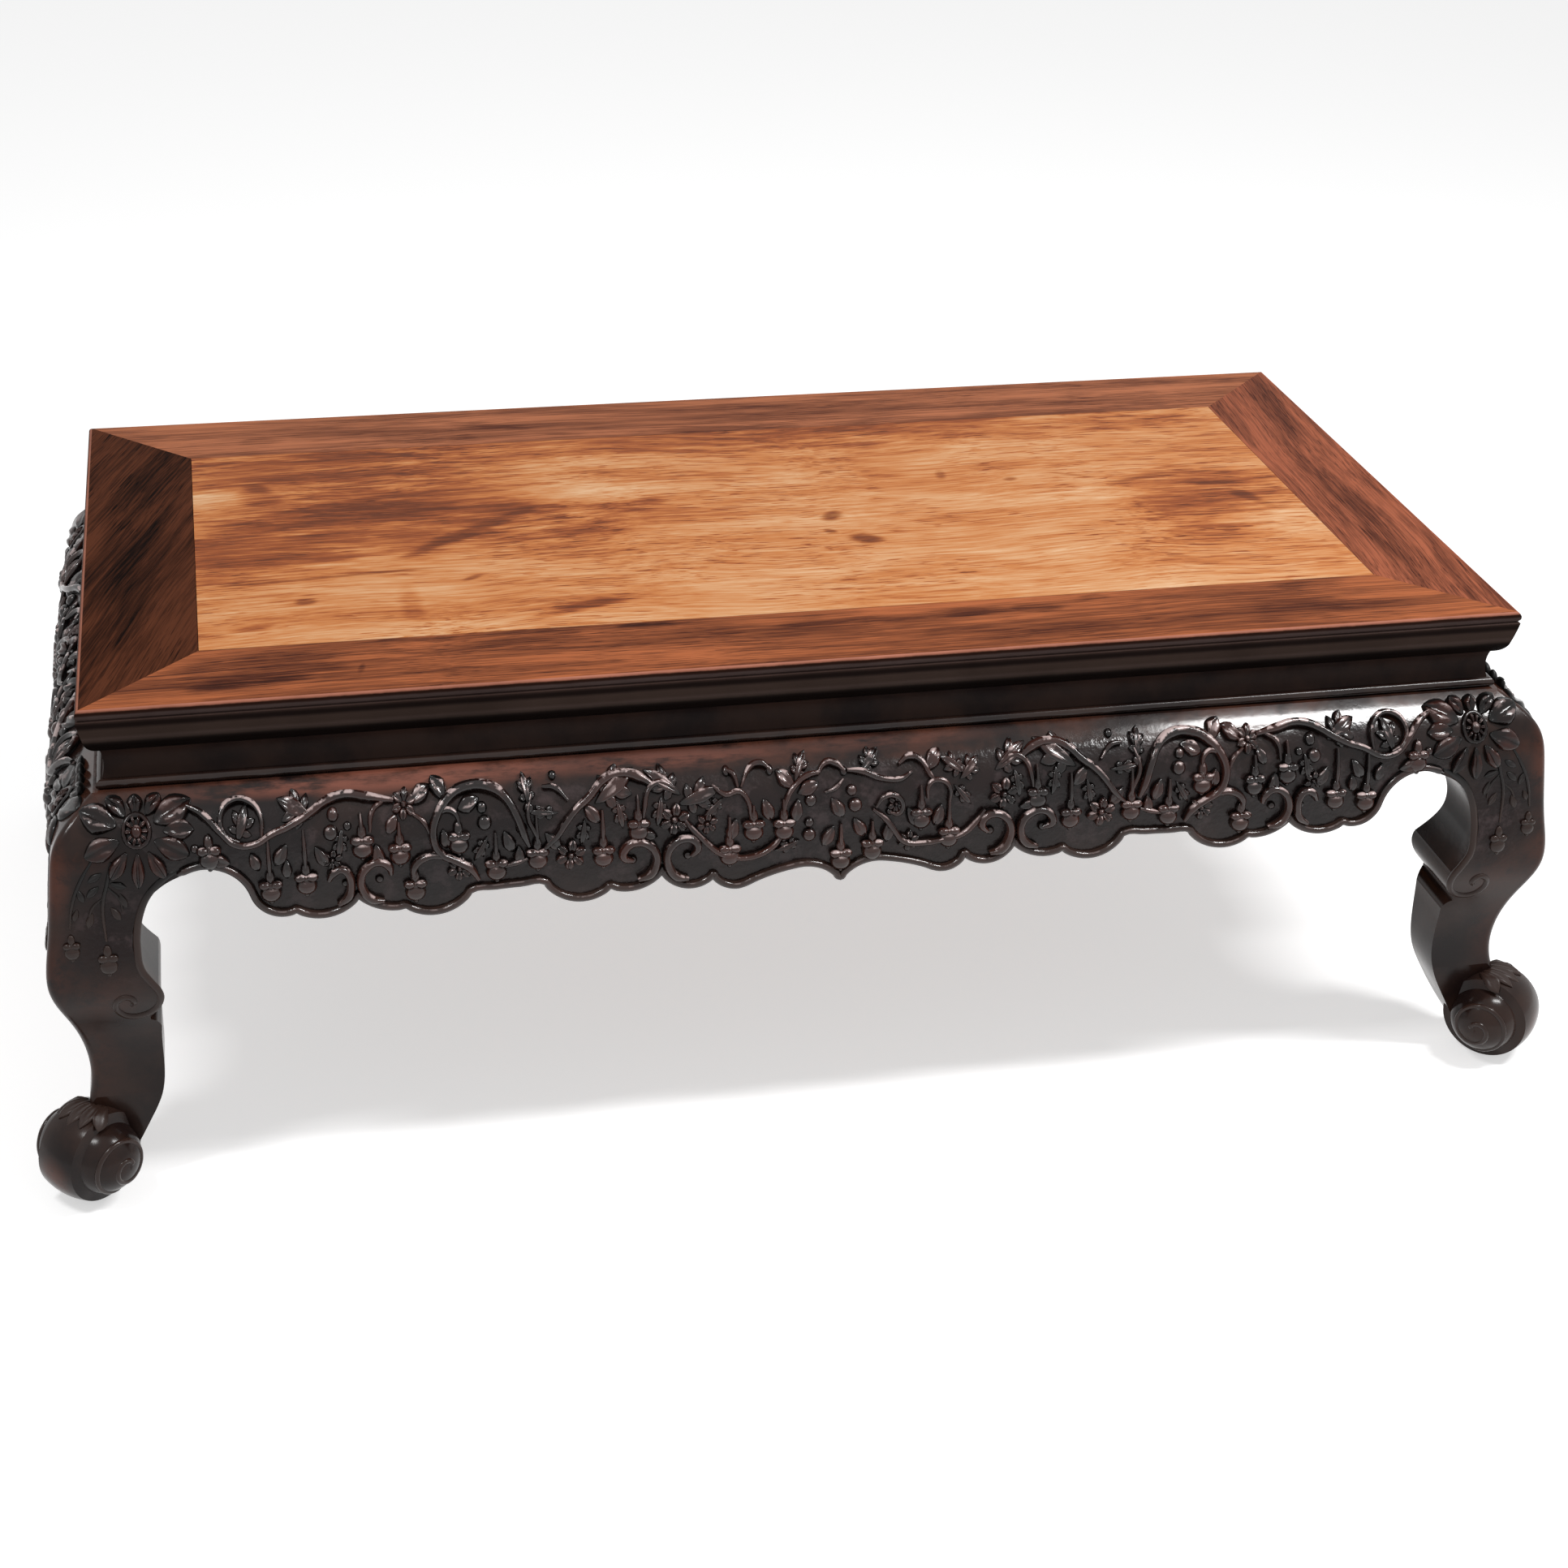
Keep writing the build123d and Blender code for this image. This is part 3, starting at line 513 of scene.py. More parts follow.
def lacquered_wood(name, gloss, least_rough, ground=None):
    """The dark finish; where ground names its dull part, also the polished band and the carved ground."""
    material, tree, surface = empty_material(name)
    place = object_place(tree)
    height = upright(tree, place)
    cloud = noise(tree, place, 14.0, 5.0, 0.6)
    mottle = noise(tree, place, 60.0, 4.0, 0.7)
    colour = tint(tree, ramp(tree, cloud, 0.34, 0.62), LACQUER, LACQUER_BROWN)
    rough = calc(tree, "MULTIPLY_ADD", mottle, 0.14, least_rough)
    corner = vector(tree, "ABSOLUTE", place)
    patches = calc(tree, "MULTIPLY", rubs(tree, corner, KNEE_RUBS), ramp(tree, mottle, 0.30, 0.55))
    colour = tint(tree, patches, colour, RUBBED_RED)
    if ground:
        edge = calc(tree, "MULTIPLY_ADD", calc(tree, "SUBTRACT", mottle, 0.5), BAND_WAVER, height)
        band = ramp(tree, edge, BAND_LOW - BAND_BLUR, BAND_LOW + BAND_BLUR)
        reds = calc(tree, "MULTIPLY", ramp(tree, cloud, 0.42, 0.62), 0.55)
        colour = tint(tree, calc(tree, "MULTIPLY", band, reds), colour, RUBBED_RED)
        streaky = noise(tree, vector(tree, "MULTIPLY", place, (26, 26, 190)), 1.0, 5.0, 0.65)
        bare = calc(tree, "MULTIPLY", ramp(tree, cloud, 0.18, 0.34), ramp(tree, streaky, 0.34, 0.58))
        bare = calc(tree, "MULTIPLY", rubs(tree, place, BAND_REDS), bare)
        colour = tint(tree, bare, colour, BARE_RED)
        dull = rubs(tree, corner, ground)
        dull = calc(tree, "MULTIPLY", dull, calc(tree, "SUBTRACT", 1.0, band))
        dusty = tint(tree, ramp(tree, mottle, 0.50, 0.66), GROUND_DEEP, GROUND_DULL)
        colour = tint(tree, calc(tree, "MULTIPLY", dull, DUST_SHARE), colour, dusty)
        rough = calc(tree, "MULTIPLY_ADD", dull, DUST_ROUGH, rough)
        chisel = noise(tree, place, 210.0, 2.0, 0.6)
        mottle = calc(tree, "MULTIPLY_ADD", calc(tree, "MULTIPLY", chisel, dull), CHISEL_DEPTH, mottle)
    relief = calc(tree, "MULTIPLY_ADD", cloud, 2.5, mottle)
    wood(tree, surface, colour, rough, relief, gloss, 0.10)
    return material


waist_lacquer = lacquered_wood("old_lacquer", gloss=0.06, least_rough=0.24)
strip_lacquer = lacquered_wood("polished_lacquer", gloss=0.32, least_rough=0.14)
apron_lacquer = lacquered_wood("old_lacquer_carved_ground", 0.28, 0.05, APRON_GROUND)
leg_lacquer = lacquered_wood("old_lacquer_of_legs", 0.19, 0.13, LEG_GROUND)
for side in ("front", "right", "back", "left"):
    dress(side + "_waist_board", waist_lacquer)
    dress(side + "_bead_strip", strip_lacquer)
    dress(side + "_apron", apron_lacquer)
for corner in ("front_left", "front_right", "back_left", "back_right"):
    dress(corner + "_leg", leg_lacquer)

# ---- Carving: motifs ----
# The carver's small forms: beads, drops, petals, leaves and little flowers, each cut rounded and
# undercut at its rim. Each is shaped once, lying flat with its face up, and then repeated.


def shown_only(piece):
    """The piece alone is selected and active."""
    bpy.ops.object.select_all(action="DESELECT")
    piece.select_set(True)
    bpy.context.view_layer.objects.active = piece


def edit_where(piece, test, action):
    """The points that pass the test are worked on together in edit mode."""
    shown_only(piece)
    bpy.ops.object.mode_set(mode="EDIT")
    bpy.ops.mesh.select_mode(type="VERT")
    bpy.ops.mesh.select_all(action="DESELECT")
    form = bmesh.from_edit_mesh(piece.data)
    for point in form.verts:
        point.select = bool(test(point.co))
    form.select_flush(True)
    bmesh.update_edit_mesh(piece.data)
    action()
    bpy.ops.object.mode_set(mode="OBJECT")


def named(piece, name):
    """The piece and its mesh under one name."""
    piece.name = piece.data.name = name
    return piece


def merge(pieces, name):
    """Pieces joined under one name, smooth, with the points as they lie in the world."""
    bpy.ops.object.select_all(action="DESELECT")
    for piece in pieces:
        piece.select_set(True)
    bpy.context.view_layer.objects.active = pieces[0]
    bpy.ops.object.join()
    bpy.ops.object.transform_apply(location=True, rotation=True, scale=True)
    bpy.ops.object.shade_smooth()
    return named(bpy.context.object, name)


def ball(place, size, segments=14, rings=9):
    """A rounded form of its own half sizes in millimetres, its poles along X."""
    bpy.ops.mesh.primitive_uv_sphere_add(segments=segments, ring_count=rings, radius=1)
    piece = bpy.context.object
    bpy.ops.transform.rotate(value=math.pi / 2, orient_axis="Y", center_override=(0, 0, 0))
    bpy.ops.transform.resize(value=[s * MM for s in size], center_override=(0, 0, 0))
    bpy.ops.transform.translate(value=[p * MM for p in place])
    bpy.ops.object.transform_apply(location=True, rotation=True, scale=True)
    return piece


def resize_where(piece, test, shares, middle=(0, 0, 0)):
    """The points that pass the test are resized together."""
    edit_where(piece, test, lambda: bpy.ops.transform.resize(value=shares, center_override=middle))


def every(point):
    """The test that all points pass."""
    return True


def blade(name, widths, hollow):
    """A rounded form of unit size whose rings are widened to an outline, its middle sunk along the top."""
    steps = len(widths) + 1
    piece = ball((0, 0, 0), (1 / MM, 1 / MM, 1 / MM), 18, steps)
    for number, wide in enumerate(widths, 1):
        x = math.cos(math.pi * number / steps)
        resize_where(piece, lambda p: abs(p.x - x) < 0.01, (1, wide, wide ** 0.5), (x, 0, 0))
    resize_where(piece, lambda p: p.z > 0.2 and abs(p.y) < 0.36 * math.sqrt(max(0, 1 - p.x * p.x)),
                 (1, 1, hollow))
    resize_where(piece, every, (MM, MM, MM))
    return merge([piece], name)


berry = merge([ball((0, 0, 0), (1, 1, 0.95), 16, 10)], "berry")
petal = blade("petal", (0.55, 0.8, 0.95, 1.05, 1.08, 1.0, 0.85, 0.7, 0.6, 0.6), 0.42)
leaf = blade("leaf", (0.30, 0.6, 0.85, 1.0, 1.1, 1.0, 0.9, 0.8, 0.62, 0.45), 0.62)
drop = merge([
    ball((0, -3.2, 1.2), (6.4, 5.6, 5.2), 18, 12), ball((-3.5, 2.4, 2.6), (3.8, 2.7, 3.6)),
    ball((3.5, 2.4, 2.6), (3.8, 2.7, 3.6)), ball((0, 1.8, 1.8), (5.8, 2.8, 3.2)),
    ball((0, 6.8, 1.2), (3.0, 5.0, 3.2)), ball((0, -8.8, 1.2), (1.6, 1.7, 1.8)),
], "drop")
kept_motifs = [berry, petal, leaf, drop]


def copied(piece):
    """A copy of a piece with a mesh of its own."""
    copy = piece.copy()
    copy.data = piece.data.copy()
    bpy.context.collection.objects.link(copy)
    return copy


def lay(motif, x, y, turn=0.0, half=(1, 1, 1), lift=0.0, mirrored=1):
    """A copy of a motif on the flat face: its place, turn in degrees and half sizes in millimetres."""
    copy = copied(motif)
    scaled = Matrix.Diagonal((*half, 1))
    turned = Matrix.Rotation(math.radians(turn), 4, "Z")
    placed = Matrix.Translation((x * MM, y * MM, lift * MM))
    copy.data.transform(Matrix.Diagonal((mirrored, 1, 1, 1)) @ placed @ turned @ scaled)
    if mirrored < 0:
        copy.data.flip_normals()
    return copy


def ringed(motif, count, reach, half, lift):
    """Copies of a motif pointing outward all round."""
    around = []
    for number in range(count):
        angle = 360 * number / count
        way = math.radians(angle)
        around.append(lay(motif, reach * math.cos(way), reach * math.sin(way), angle, half, lift))
    return around


vine_leaf = merge([lay(leaf, 0, 0, 0, (1, 0.36, 0.9))] + [
    lay(leaf, place, side * 0.34, side * turn, (size, size * 0.5, size * 1.3))
    for side in (1, -1) for place, turn, size in ((0.10, 48, 0.52), (-0.42, 86, 0.44))], "vine_leaf")
rosette = merge(ringed(petal, 6, 0.56, (0.46, 0.30, 0.34), 0.06)
                + [lay(berry, 0, 0, 0, (0.22, 0.22, 0.30), 0.06)], "rosette")
bpy.ops.mesh.primitive_torus_add(major_radius=7.4 * MM, minor_radius=1.5 * MM,
                                 major_segments=32, minor_segments=8)
eye_ring = bpy.context.object
flower_eye = merge([eye_ring, lay(berry, 0, 0, 0, (3.2, 3.2, 3.2), 0.6)]
                   + ringed(leaf, 10, 4.8, (2.6, 0.85, 2.8), 0.6), "flower_eye")
kept_motifs += [vine_leaf, rosette, flower_eye]

# ---- Carving: vines and drops of the aprons ----
# A grape vine cut in the thickness of the wood winds along every apron, with leaves, small flowers,
# fruit drops on their stalks and scrolls at the lobes. All sizes are in millimetres: across from the
# middle of the apron, and down from the top of the table.

# The work that both halves share. Vines and scrolls: radius and run. Drops: across, down, top of stalk.
BOTH = {
    "vines": [
        (1.9, [(392, 64), (383, 68), (374, 76), (366, 83), (355, 84), (344, 79), (334, 76), (322, 71),
               (311, 66), (300, 64), (286, 66), (272, 68)]),
        (1.6, [(350, 80), (350, 70), (356, 64), (366, 63), (373, 69), (371, 78), (363, 82)]),
        (2.5, [(224, 117), (229, 109), (238, 103), (246, 98), (250, 88), (248, 78), (240, 69),
               (228, 64.5), (216, 65), (206, 70), (200, 79), (196, 90), (193, 98)]),
        (1.5, [(249, 80), (243, 74), (236, 76), (234, 83)]),
        (1.5, [(262, 74), (255, 79), (251, 88)]),
        (2.1, [(184, 101), (176, 93), (170, 85), (163, 78), (155, 73), (147, 67), (136, 64),
               (124, 66), (116, 70)]),
        (1.5, [(190, 70), (193, 80), (189, 90), (186, 97)]),
        (1.4, [(183, 67), (175, 68), (168, 74)]),
        (1.5, [(103, 72), (112, 69), (119, 72), (122, 80), (123, 86)]),
        (1.8, [(208, 110), (201, 108), (194, 106)]),
        (1.5, [(278, 68), (285, 72), (287, 82)]),
    ],
    "scrolls": [
        (1.9, [(313, 110), (310, 105), (305, 103), (301, 107), (300, 114), (302, 121), (308, 126)]),
        (1.9, [(276, 109), (277, 104), (283, 100), (290, 103), (294, 110), (293, 118), (288, 124),
               (281, 126)]),
        (1.8, [(263, 112), (262, 105), (256, 100), (248, 99), (241, 103)]),
        (2.0, [(130, 113), (136, 110), (134, 104), (128, 101), (121, 103), (116, 109), (116, 117),
               (120, 123), (127, 126)]),
        (2.0, [(94, 113), (90, 108), (92, 103), (98, 101), (105, 104), (109, 111), (108, 119),
               (103, 126), (96, 128)]),
    ],
    "drops": [(347, 112, 82), (326, 109, 78), (292, 89, 72), (270, 95, 78), (235, 91, 82),
              (213, 110, 88), (188, 105, 80), (148, 107, 80), (126, 92, 74), (262, 119, 104),
              (381, 88, 80)],
    # Leaves: across, down, turn of the tip, half length, half width.
    "leaves": [(330, 68, 25, 9, 6), (193, 67, 80, 7, 3.6), (184, 79, 5, 8, 2.8),
               (139, 69, 150, 12, 6.5), (110, 69, 30, 10, 5), (245, 63, 60, 6, 3.5),
               (361, 73, 110, 8, 5), (340, 92, -60, 6, 3), (305, 88, -80, 7, 3.4),
               (256, 66, 150, 6, 3), (376, 92, 200, 6, 3), (316, 95, -120, 6, 3),
               (283, 97, -100, 6, 3), (222, 98, -60, 7, 3), (205, 95, -110, 6, 3),
               (178, 97, -130, 6, 3), (160, 93, -80, 7, 3.2), (137, 84, -100, 7, 3.2),
               (113, 84, -80, 7, 3.4), (243, 90, -100, 5, 2.6), (228, 72, -20, 6, 3),
               (154, 82, 230, 6, 3), (355, 95, -110, 5, 2.6), (274, 79, -60, 5, 2.6),
               (199, 104, -90, 5, 2.6), (120, 97, 200, 5, 2.4), (337, 101, -90, 5, 2.4)],
    "rosettes": [(168, 106, 9), (104, 89, 9), (235, 109, 7.5), (266, 70, 7), (310, 97, 6)],
    "berries": [(308, 72, 3.6), (310, 81, 4.6), (220, 74, 3.2), (219, 82, 4.6), (192, 76, 3.4),
                (197, 87, 3.6), (300, 78, 2.6), (176, 62, 2.4), (116, 70, 2.6), (303, 113, 2.4),
                (283, 112, 2.6), (130, 113, 2.8), (96, 113, 2.8), (389, 84, 2.6)],
}
# The work between the halves, which isn't the same left and right.
MIDDLE = {
    "vines": [
        (1.9, [(-99, 88), (-92, 97), (-84, 106), (-76, 113), (-64, 117), (-52, 116), (-42, 110),
               (-37, 104)]),
        (1.9, [(20, 92), (27, 98), (33, 106), (40, 115), (52, 117), (64, 116), (78, 113), (86, 106),
               (92, 98)]),
        (1.5, [(-80, 72), (-72, 77), (-63, 76), (-58, 82), (-57, 90)]),
        (1.4, [(-64, 74), (-66, 68), (-70, 66)]),
        (1.4, [(-62, 74), (-56, 66), (-48, 64), (-43, 67)]),
        (1.5, [(38, 69), (45, 66), (52, 68), (57, 75), (61, 79)]),
        (1.5, [(55, 88), (56, 80), (63, 78), (69, 82), (69, 92)]),
        (1.6, [(5, 70), (14, 71), (26, 75), (38, 76), (46, 73)]),
        (1.5, [(-14, 71), (-8, 66), (-1, 67), (3, 70)]),
        (1.7, [(22, 91), (27, 85), (35, 85), (39, 91), (36, 96), (31, 95)]),
        (1.5, [(-36, 92), (-34, 82), (-28, 75), (-20, 71), (-12, 70)]),
        (1.4, [(-10, 80), (-3, 78), (2, 74)]),
    ],
    "scrolls": [],
    "drops": [(-70, 113, 90), (-55, 98, 84), (-36, 99, 82), (0, 122, 100), (20, 117, 100), (51, 99, 80),
              (69, 113, 90)],
    "leaves": [(-88, 77, 15, 11, 6), (83, 73, 40, 7, 4), (20, 66, 40, 7, 4), (72, 71, 150, 7, 3.6),
               (-24, 66, 60, 7, 3.6), (-2, 90, -60, 6, 3.2), (-20, 77, 200, 6, 3),
               (-46, 88, -70, 6, 3), (-68, 99, -110, 6, 3), (-80, 84, -140, 7, 3),
               (46, 100, -60, 6, 3), (62, 100, -110, 6, 3), (78, 88, -50, 7, 3), (30, 108, -100, 6, 3),
               (-8, 108, -120, 6, 3), (12, 104, -60, 6, 3), (-28, 90, -100, 6, 3),
               (-34, 112, 200, 7, 3), (60, 68, 40, 6, 3), (-34, 72, 140, 6, 3)],
    "rosettes": [(43, 115, 6.5), (35, 90, 5.5), (-84, 93, 6.5)],
    "berries": [(7, 80, 3.5), (9, 89, 4.6), (-19, 84, 4), (-70, 66, 2.4), (-43, 67, 2.4), (3, 70, 2.4),
                (-20, 98, 3.2), (-20, 106, 4.4), (31, 95, 2.4)],
}
# Where the ends leave out the run between the middle and the corners of the long sides.
END_KEEPS_FROM = 288
END_SHIFT = 221
END_MIDDLE = 74
END_SQUEEZE = 0.94
# The work is cut a little fuller than drawn: vines, scrolls, the stalks of the drops, leaves that are
# lobed from a half length on, rosettes.
VINE_FULLER = 1.08
SCROLL_FULLER = 1.35
STALK = 1.6
LOBED_FROM = 7
LEAF_LONGER = 1.25
LOBED_WIDER = 1.9
LEAF_WIDER = 1.35
LEAF_HEIGHT = 4.6
ROSETTE_FULLER = 1.08
MOTIF_LIFT = 0.8


def round_runs(name, runs, depth, resolution, tip, along=12):
    """Round runs through their places as one mesh: each run's radius and places, thinner at both tips."""
    curve = bpy.data.curves.new(name, "CURVE")
    curve.dimensions = "3D"
    curve.bevel_depth = depth
    curve.bevel_resolution = resolution
    curve.resolution_u = along
    curve.use_fill_caps = True
    for radius, places in runs:
        spline = curve.splines.new("BEZIER")
        spline.bezier_points.add(len(places) - 1)
        for number, (knot, place) in enumerate(zip(spline.bezier_points, places)):
            knot.co = place
            knot.handle_left_type = knot.handle_right_type = "AUTO"
            knot.radius = radius * (tip if number in (0, len(places) - 1) else 1.0)
    piece = bpy.data.objects.new(name, curve)
    bpy.context.collection.objects.link(piece)
    shown_only(piece)
    bpy.ops.object.convert(target="MESH")
    return bpy.context.object


def vine(name, runs, lift, height=1.3):
    """Vines on the flat, their section raised to a height of so many widths."""
    runs = [(radius, [(x * MM, y * MM, lift * MM) for x, y in points]) for radius, points in runs]
    piece = round_runs(name, runs, MM, 2, 0.55, 4)
    resize_where(piece, every, (1, 1, height))
    return piece


def on_end(x):
    """Where a place of a long apron lands on an end apron, or nothing where the end has no room."""
    if abs(x) >= END_KEEPS_FROM:
        return x - math.copysign(END_SHIFT, x)
    return x * END_SQUEEZE if abs(x) <= END_MIDDLE else None


def moved(rows, sign, is_long):
    """The rows that find room on this apron, each with its place across moved to it."""
    for x, down, *rest in rows:
        across = sign * x if is_long else on_end(sign * x)
        if across is not None:
            yield across, -down, *rest


def carving(is_long):
    """All motifs of one apron, laid flat and joined."""
    pieces, runs = [], []
    for marks, sign in ((BOTH, 1), (BOTH, -1), (MIDDLE, 1)):
        broad = [(radius * SCROLL_FULLER, points) for radius, points in marks["scrolls"]]
        for radius, points in marks["vines"] + broad:
            kept = list(moved(points, sign, is_long))
            if len(kept) > 2:
                runs.append((radius * VINE_FULLER, kept))
        for x, y, top in moved(marks["drops"], sign, is_long):
            pieces.append(lay(drop, x, y))
            runs.append((STALK, [(x, -top), (x, (y - top) / 2), (x, y + 6)]))
        for x, y, turn, length, width in moved(marks["leaves"], sign, is_long):
            lobed = length >= LOBED_FROM
            half = (length * LEAF_LONGER, width * (LOBED_WIDER if lobed else LEAF_WIDER), LEAF_HEIGHT)
            turn = turn if sign > 0 else 180 - turn
            pieces.append(lay(vine_leaf if lobed else leaf, x, y, turn, half, MOTIF_LIFT))
        for x, y, size in moved(marks["rosettes"], sign, is_long):
            across = size * ROSETTE_FULLER
            pieces.append(lay(rosette, x, y, 20, (across, across, size * 1.6), MOTIF_LIFT))
        for x, y, size in moved(marks["berries"], sign, is_long):
            pieces.append(lay(berry, x, y, 0, (size, size, size * 0.95), MOTIF_LIFT))
    pieces.append(vine("stalks", runs, 1.3, 1.7))
    return merge(pieces, "flat_carving")


# ---- Carving: set on the faces ----
# The flat work follows the swell of the aprons and legs, square to the surface, its roots a little
# sunk. The swell is felt along one leg, because all four faces share it.
HALF_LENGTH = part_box("right_top_rail")[1].x
HALF_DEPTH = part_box("back_top_rail")[1].y
# Each face: outward, along to the right as it is looked at, how far out the top's edge stands there, and
# half its length.
FACES = {
    "front": (Vector((0, -1, 0)), Vector((1, 0, 0)), HALF_DEPTH, HALF_LENGTH),
    "right": (Vector((1, 0, 0)), Vector((0, 1, 0)), HALF_LENGTH, HALF_DEPTH),
    "back": (Vector((0, 1, 0)), Vector((-1, 0, 0)), HALF_DEPTH, HALF_LENGTH),
    "left": (Vector((-1, 0, 0)), Vector((0, -1, 0)), HALF_LENGTH, HALF_DEPTH),
}
# The leg is felt near its corner, from the ankle up to the bead strip.
FEEL_AT = HALF_LENGTH - 10 * MM
FEEL_FROM = 68 * MM
FEEL_TO = TOP - 56.5 * MM
FEEL_STEP = 1 * MM
SLOPE_REACH = 3 * MM
felt_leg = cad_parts["front_right_leg"]
bpy.context.view_layer.update()
swell = []
while FEEL_FROM + len(swell) * FEEL_STEP < FEEL_TO:
    level = FEEL_FROM + len(swell) * FEEL_STEP
    touched, place, *_ = felt_leg.ray_cast(Vector((FEEL_AT, -1, level)), Vector((0, 1, 0)))
    swell.append(-place.y - HALF_DEPTH if touched else swell[-1])


def stands_out(level):
    """How far the swelling face stands outside the top's edge at a level."""
    step = min(max((level - FEEL_FROM) / FEEL_STEP, 0), len(swell) - 1.001)
    below = int(step)
    return swell[below] + (swell[below + 1] - swell[below]) * (step - below)


def on_face(face, across, down, rise):
    """A point of the flat work on one of the four faces."""
    outward, along, out, _ = FACES[face]
    level = TOP + down
    slope = (stands_out(level + SLOPE_REACH) - stands_out(level - SLOPE_REACH)) / (2 * SLOPE_REACH)
    length = math.hypot(1, slope)
    place = along * across + outward * (out + stands_out(level) + rise / length)
    place.z = level - rise * slope / length
    return place


def note_relief(piece, heights):
    """How high each point stands in millimetres, noted for the finish."""
    relief = piece.data.attributes.new("relief", "FLOAT", "POINT")
    for mark, height in zip(relief.data, heights):
        mark.value = height


def bend(flat, face, name, shift=0.0, mirrored=1, rise=1.0):
    """A copy of the flat work bent onto a face."""
    piece = lay(flat, shift / MM, 0, mirrored=mirrored)
    note_relief(piece, [point.co.z / MM for point in piece.data.vertices])
    for point in piece.data.vertices:
        point.co = on_face(face, point.co.x, point.co.y, point.co.z * rise)
    return named(piece, name)


# An apron's lower edge lies between its legs' shoulders and below this level. The face before it looks
# outward, and the one under it doesn't.
SHOULDER = 49.5 * MM
EDGE_BELOW = -80 * MM
FACES_OUT = 0.3
FACES_DOWN = 0.1


def edge_run(apron, face):
    """The apron's lower edge as points on the flat, from one shoulder to the other."""
    outward, along, _, half = FACES[face]
    form = bmesh.new()
    form.from_mesh(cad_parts[apron].data)
    bmesh.ops.remove_doubles(form, verts=form.verts, dist=0.01 * MM)
    beside = {}
    for edge in form.edges:
        if len(edge.link_faces) != 2:
            continue
        first, second = sorted((f.normal.dot(outward) for f in edge.link_faces), reverse=True)
        flat = [(p.co.dot(along), p.co.z - TOP) for p in edge.verts]
        inside = max(abs(x) for x, y in flat) < half - SHOULDER and max(y for x, y in flat) < EDGE_BELOW
        if first > FACES_OUT and abs(second) < FACES_DOWN and inside:
            a, b = edge.verts
            beside.setdefault(a.index, []).append(b.index)
            beside.setdefault(b.index, []).append(a.index)
    form.verts.ensure_lookup_table()
    here = min(beside, key=lambda i: form.verts[i].co.dot(along))
    run, before = [], None
    while here is not None:
        point = form.verts[here].co
        run.append((point.dot(along) / MM, (point.z - TOP) / MM))
        onward = [i for i in beside[here] if i != before]
        before, here = here, onward[0] if onward and len(run) < len(beside) else None
    form.free()
    return run


# Its points are kept a gap apart in millimetres, and where it turns sharply, in radians.
EDGE_GAP = 2.5
SHARP_TURN = 0.5


def thinned(run):
    """The run with points at least a gap apart, its sharp corners kept."""
    kept = [run[0]]
    for number in range(1, len(run) - 1):
        (ax, ay), (bx, by), (cx, cy) = run[number - 1], run[number], run[number + 1]
        turn = abs(math.remainder(math.atan2(cy - by, cx - bx) - math.atan2(by - ay, bx - ax), 2 * math.pi))
        if turn > SHARP_TURN or math.dist(kept[-1], run[number]) >= EDGE_GAP:
            kept.append(run[number])
    return kept + [run[-1]]


# A bead follows the edge just inside it.
EDGE_BEAD = 2.6
EDGE_INSET = 2.1
flats = {}
for is_long, apron, face in ((True, "front_apron", "front"), (False, "right_apron", "right")):
    edge = [(x, y + EDGE_INSET) for x, y in thinned(edge_run(apron, face))]
    bead = vine("edge_bead", [(EDGE_BEAD, edge)], 0.5)
    flats[is_long] = merge([carving(is_long), bead], "flat_apron_work")

# The carving's colour: painted shade in black in the depths, worn to red wood low down and browner still at
# the bottom, and painted highlights on the upper sides.
PAINTED_SHADE_BLACK = (0.0020, 0.0017, 0.0016, 1)
WORN_RED = (0.066, 0.020, 0.0140, 1)
PAINTED_HIGHLIGHT_PALE = (0.50, 0.385, 0.37, 1)
RED_LEVELS = (TOP - 92 * MM, TOP - 118 * MM)
BROWN_LEVELS = (TOP - 100 * MM, TOP - 135 * MM)


def carving_wear_and_painted_light(name, gloss, painted_highlight_share):
    """Lacquer worn to red wood on the high parts, with painted shade in black in the depths and painted
    highlights on the upper sides.
    """
    material, tree, surface = empty_material(name)
    place = object_place(tree)
    high = put(tree, "Attribute", attribute_name="relief").outputs["Fac"]
    height = upright(tree, place)
    cloud = noise(tree, place, 26.0, 4.0, 0.6)
    mottle = noise(tree, place, 260.0, 3.0, 0.7)
    worn = calc(tree, "MULTIPLY_ADD", calc(tree, "SUBTRACT", cloud, 0.5), 6.0, high)
    # Painted shade: the low parts of the relief, near the ground, are painted black.
    colour = tint(tree, ramp(tree, worn, 0.8, 3.0), PAINTED_SHADE_BLACK, LACQUER)
    patchy = calc(tree, "MULTIPLY", ramp(tree, cloud, 0.42, 0.62), 0.50)
    bare = calc(tree, "MULTIPLY_ADD", ramp(tree, height, *RED_LEVELS), 0.42, patchy)
    colour = tint(tree, calc(tree, "MULTIPLY", ramp(tree, worn, 2.0, 4.5), bare), colour, WORN_RED)
    lower = calc(tree, "MULTIPLY", ramp(tree, height, *BROWN_LEVELS), 0.85)
    colour = tint(tree, lower, colour, LACQUER_BROWN)
    # Painted highlight: the upper sides of the high relief are painted paler in spots, as where light falls
    # on them.
    upward = upright(tree, put(tree, "NewGeometry").outputs["Normal"])
    rubbed = calc(tree, "MULTIPLY", ramp(tree, upward, 0.50, 0.76), ramp(tree, high, 2.7, 4.4))
    rubbed = calc(tree, "MULTIPLY", rubbed, ramp(tree, noise(tree, place, 150.0), 0.47, 0.58))
    colour = tint(tree, calc(tree, "MULTIPLY", rubbed, painted_highlight_share), colour, PAINTED_HIGHLIGHT_PALE)
    rough = calc(tree, "MULTIPLY_ADD", mottle, 0.12, 0.08)
    rough = calc(tree, "MULTIPLY_ADD", ramp(tree, high, 2.6, 0.6), 0.30, rough)
    wood(tree, surface, colour, rough, mottle, gloss, 0.22)
    return material


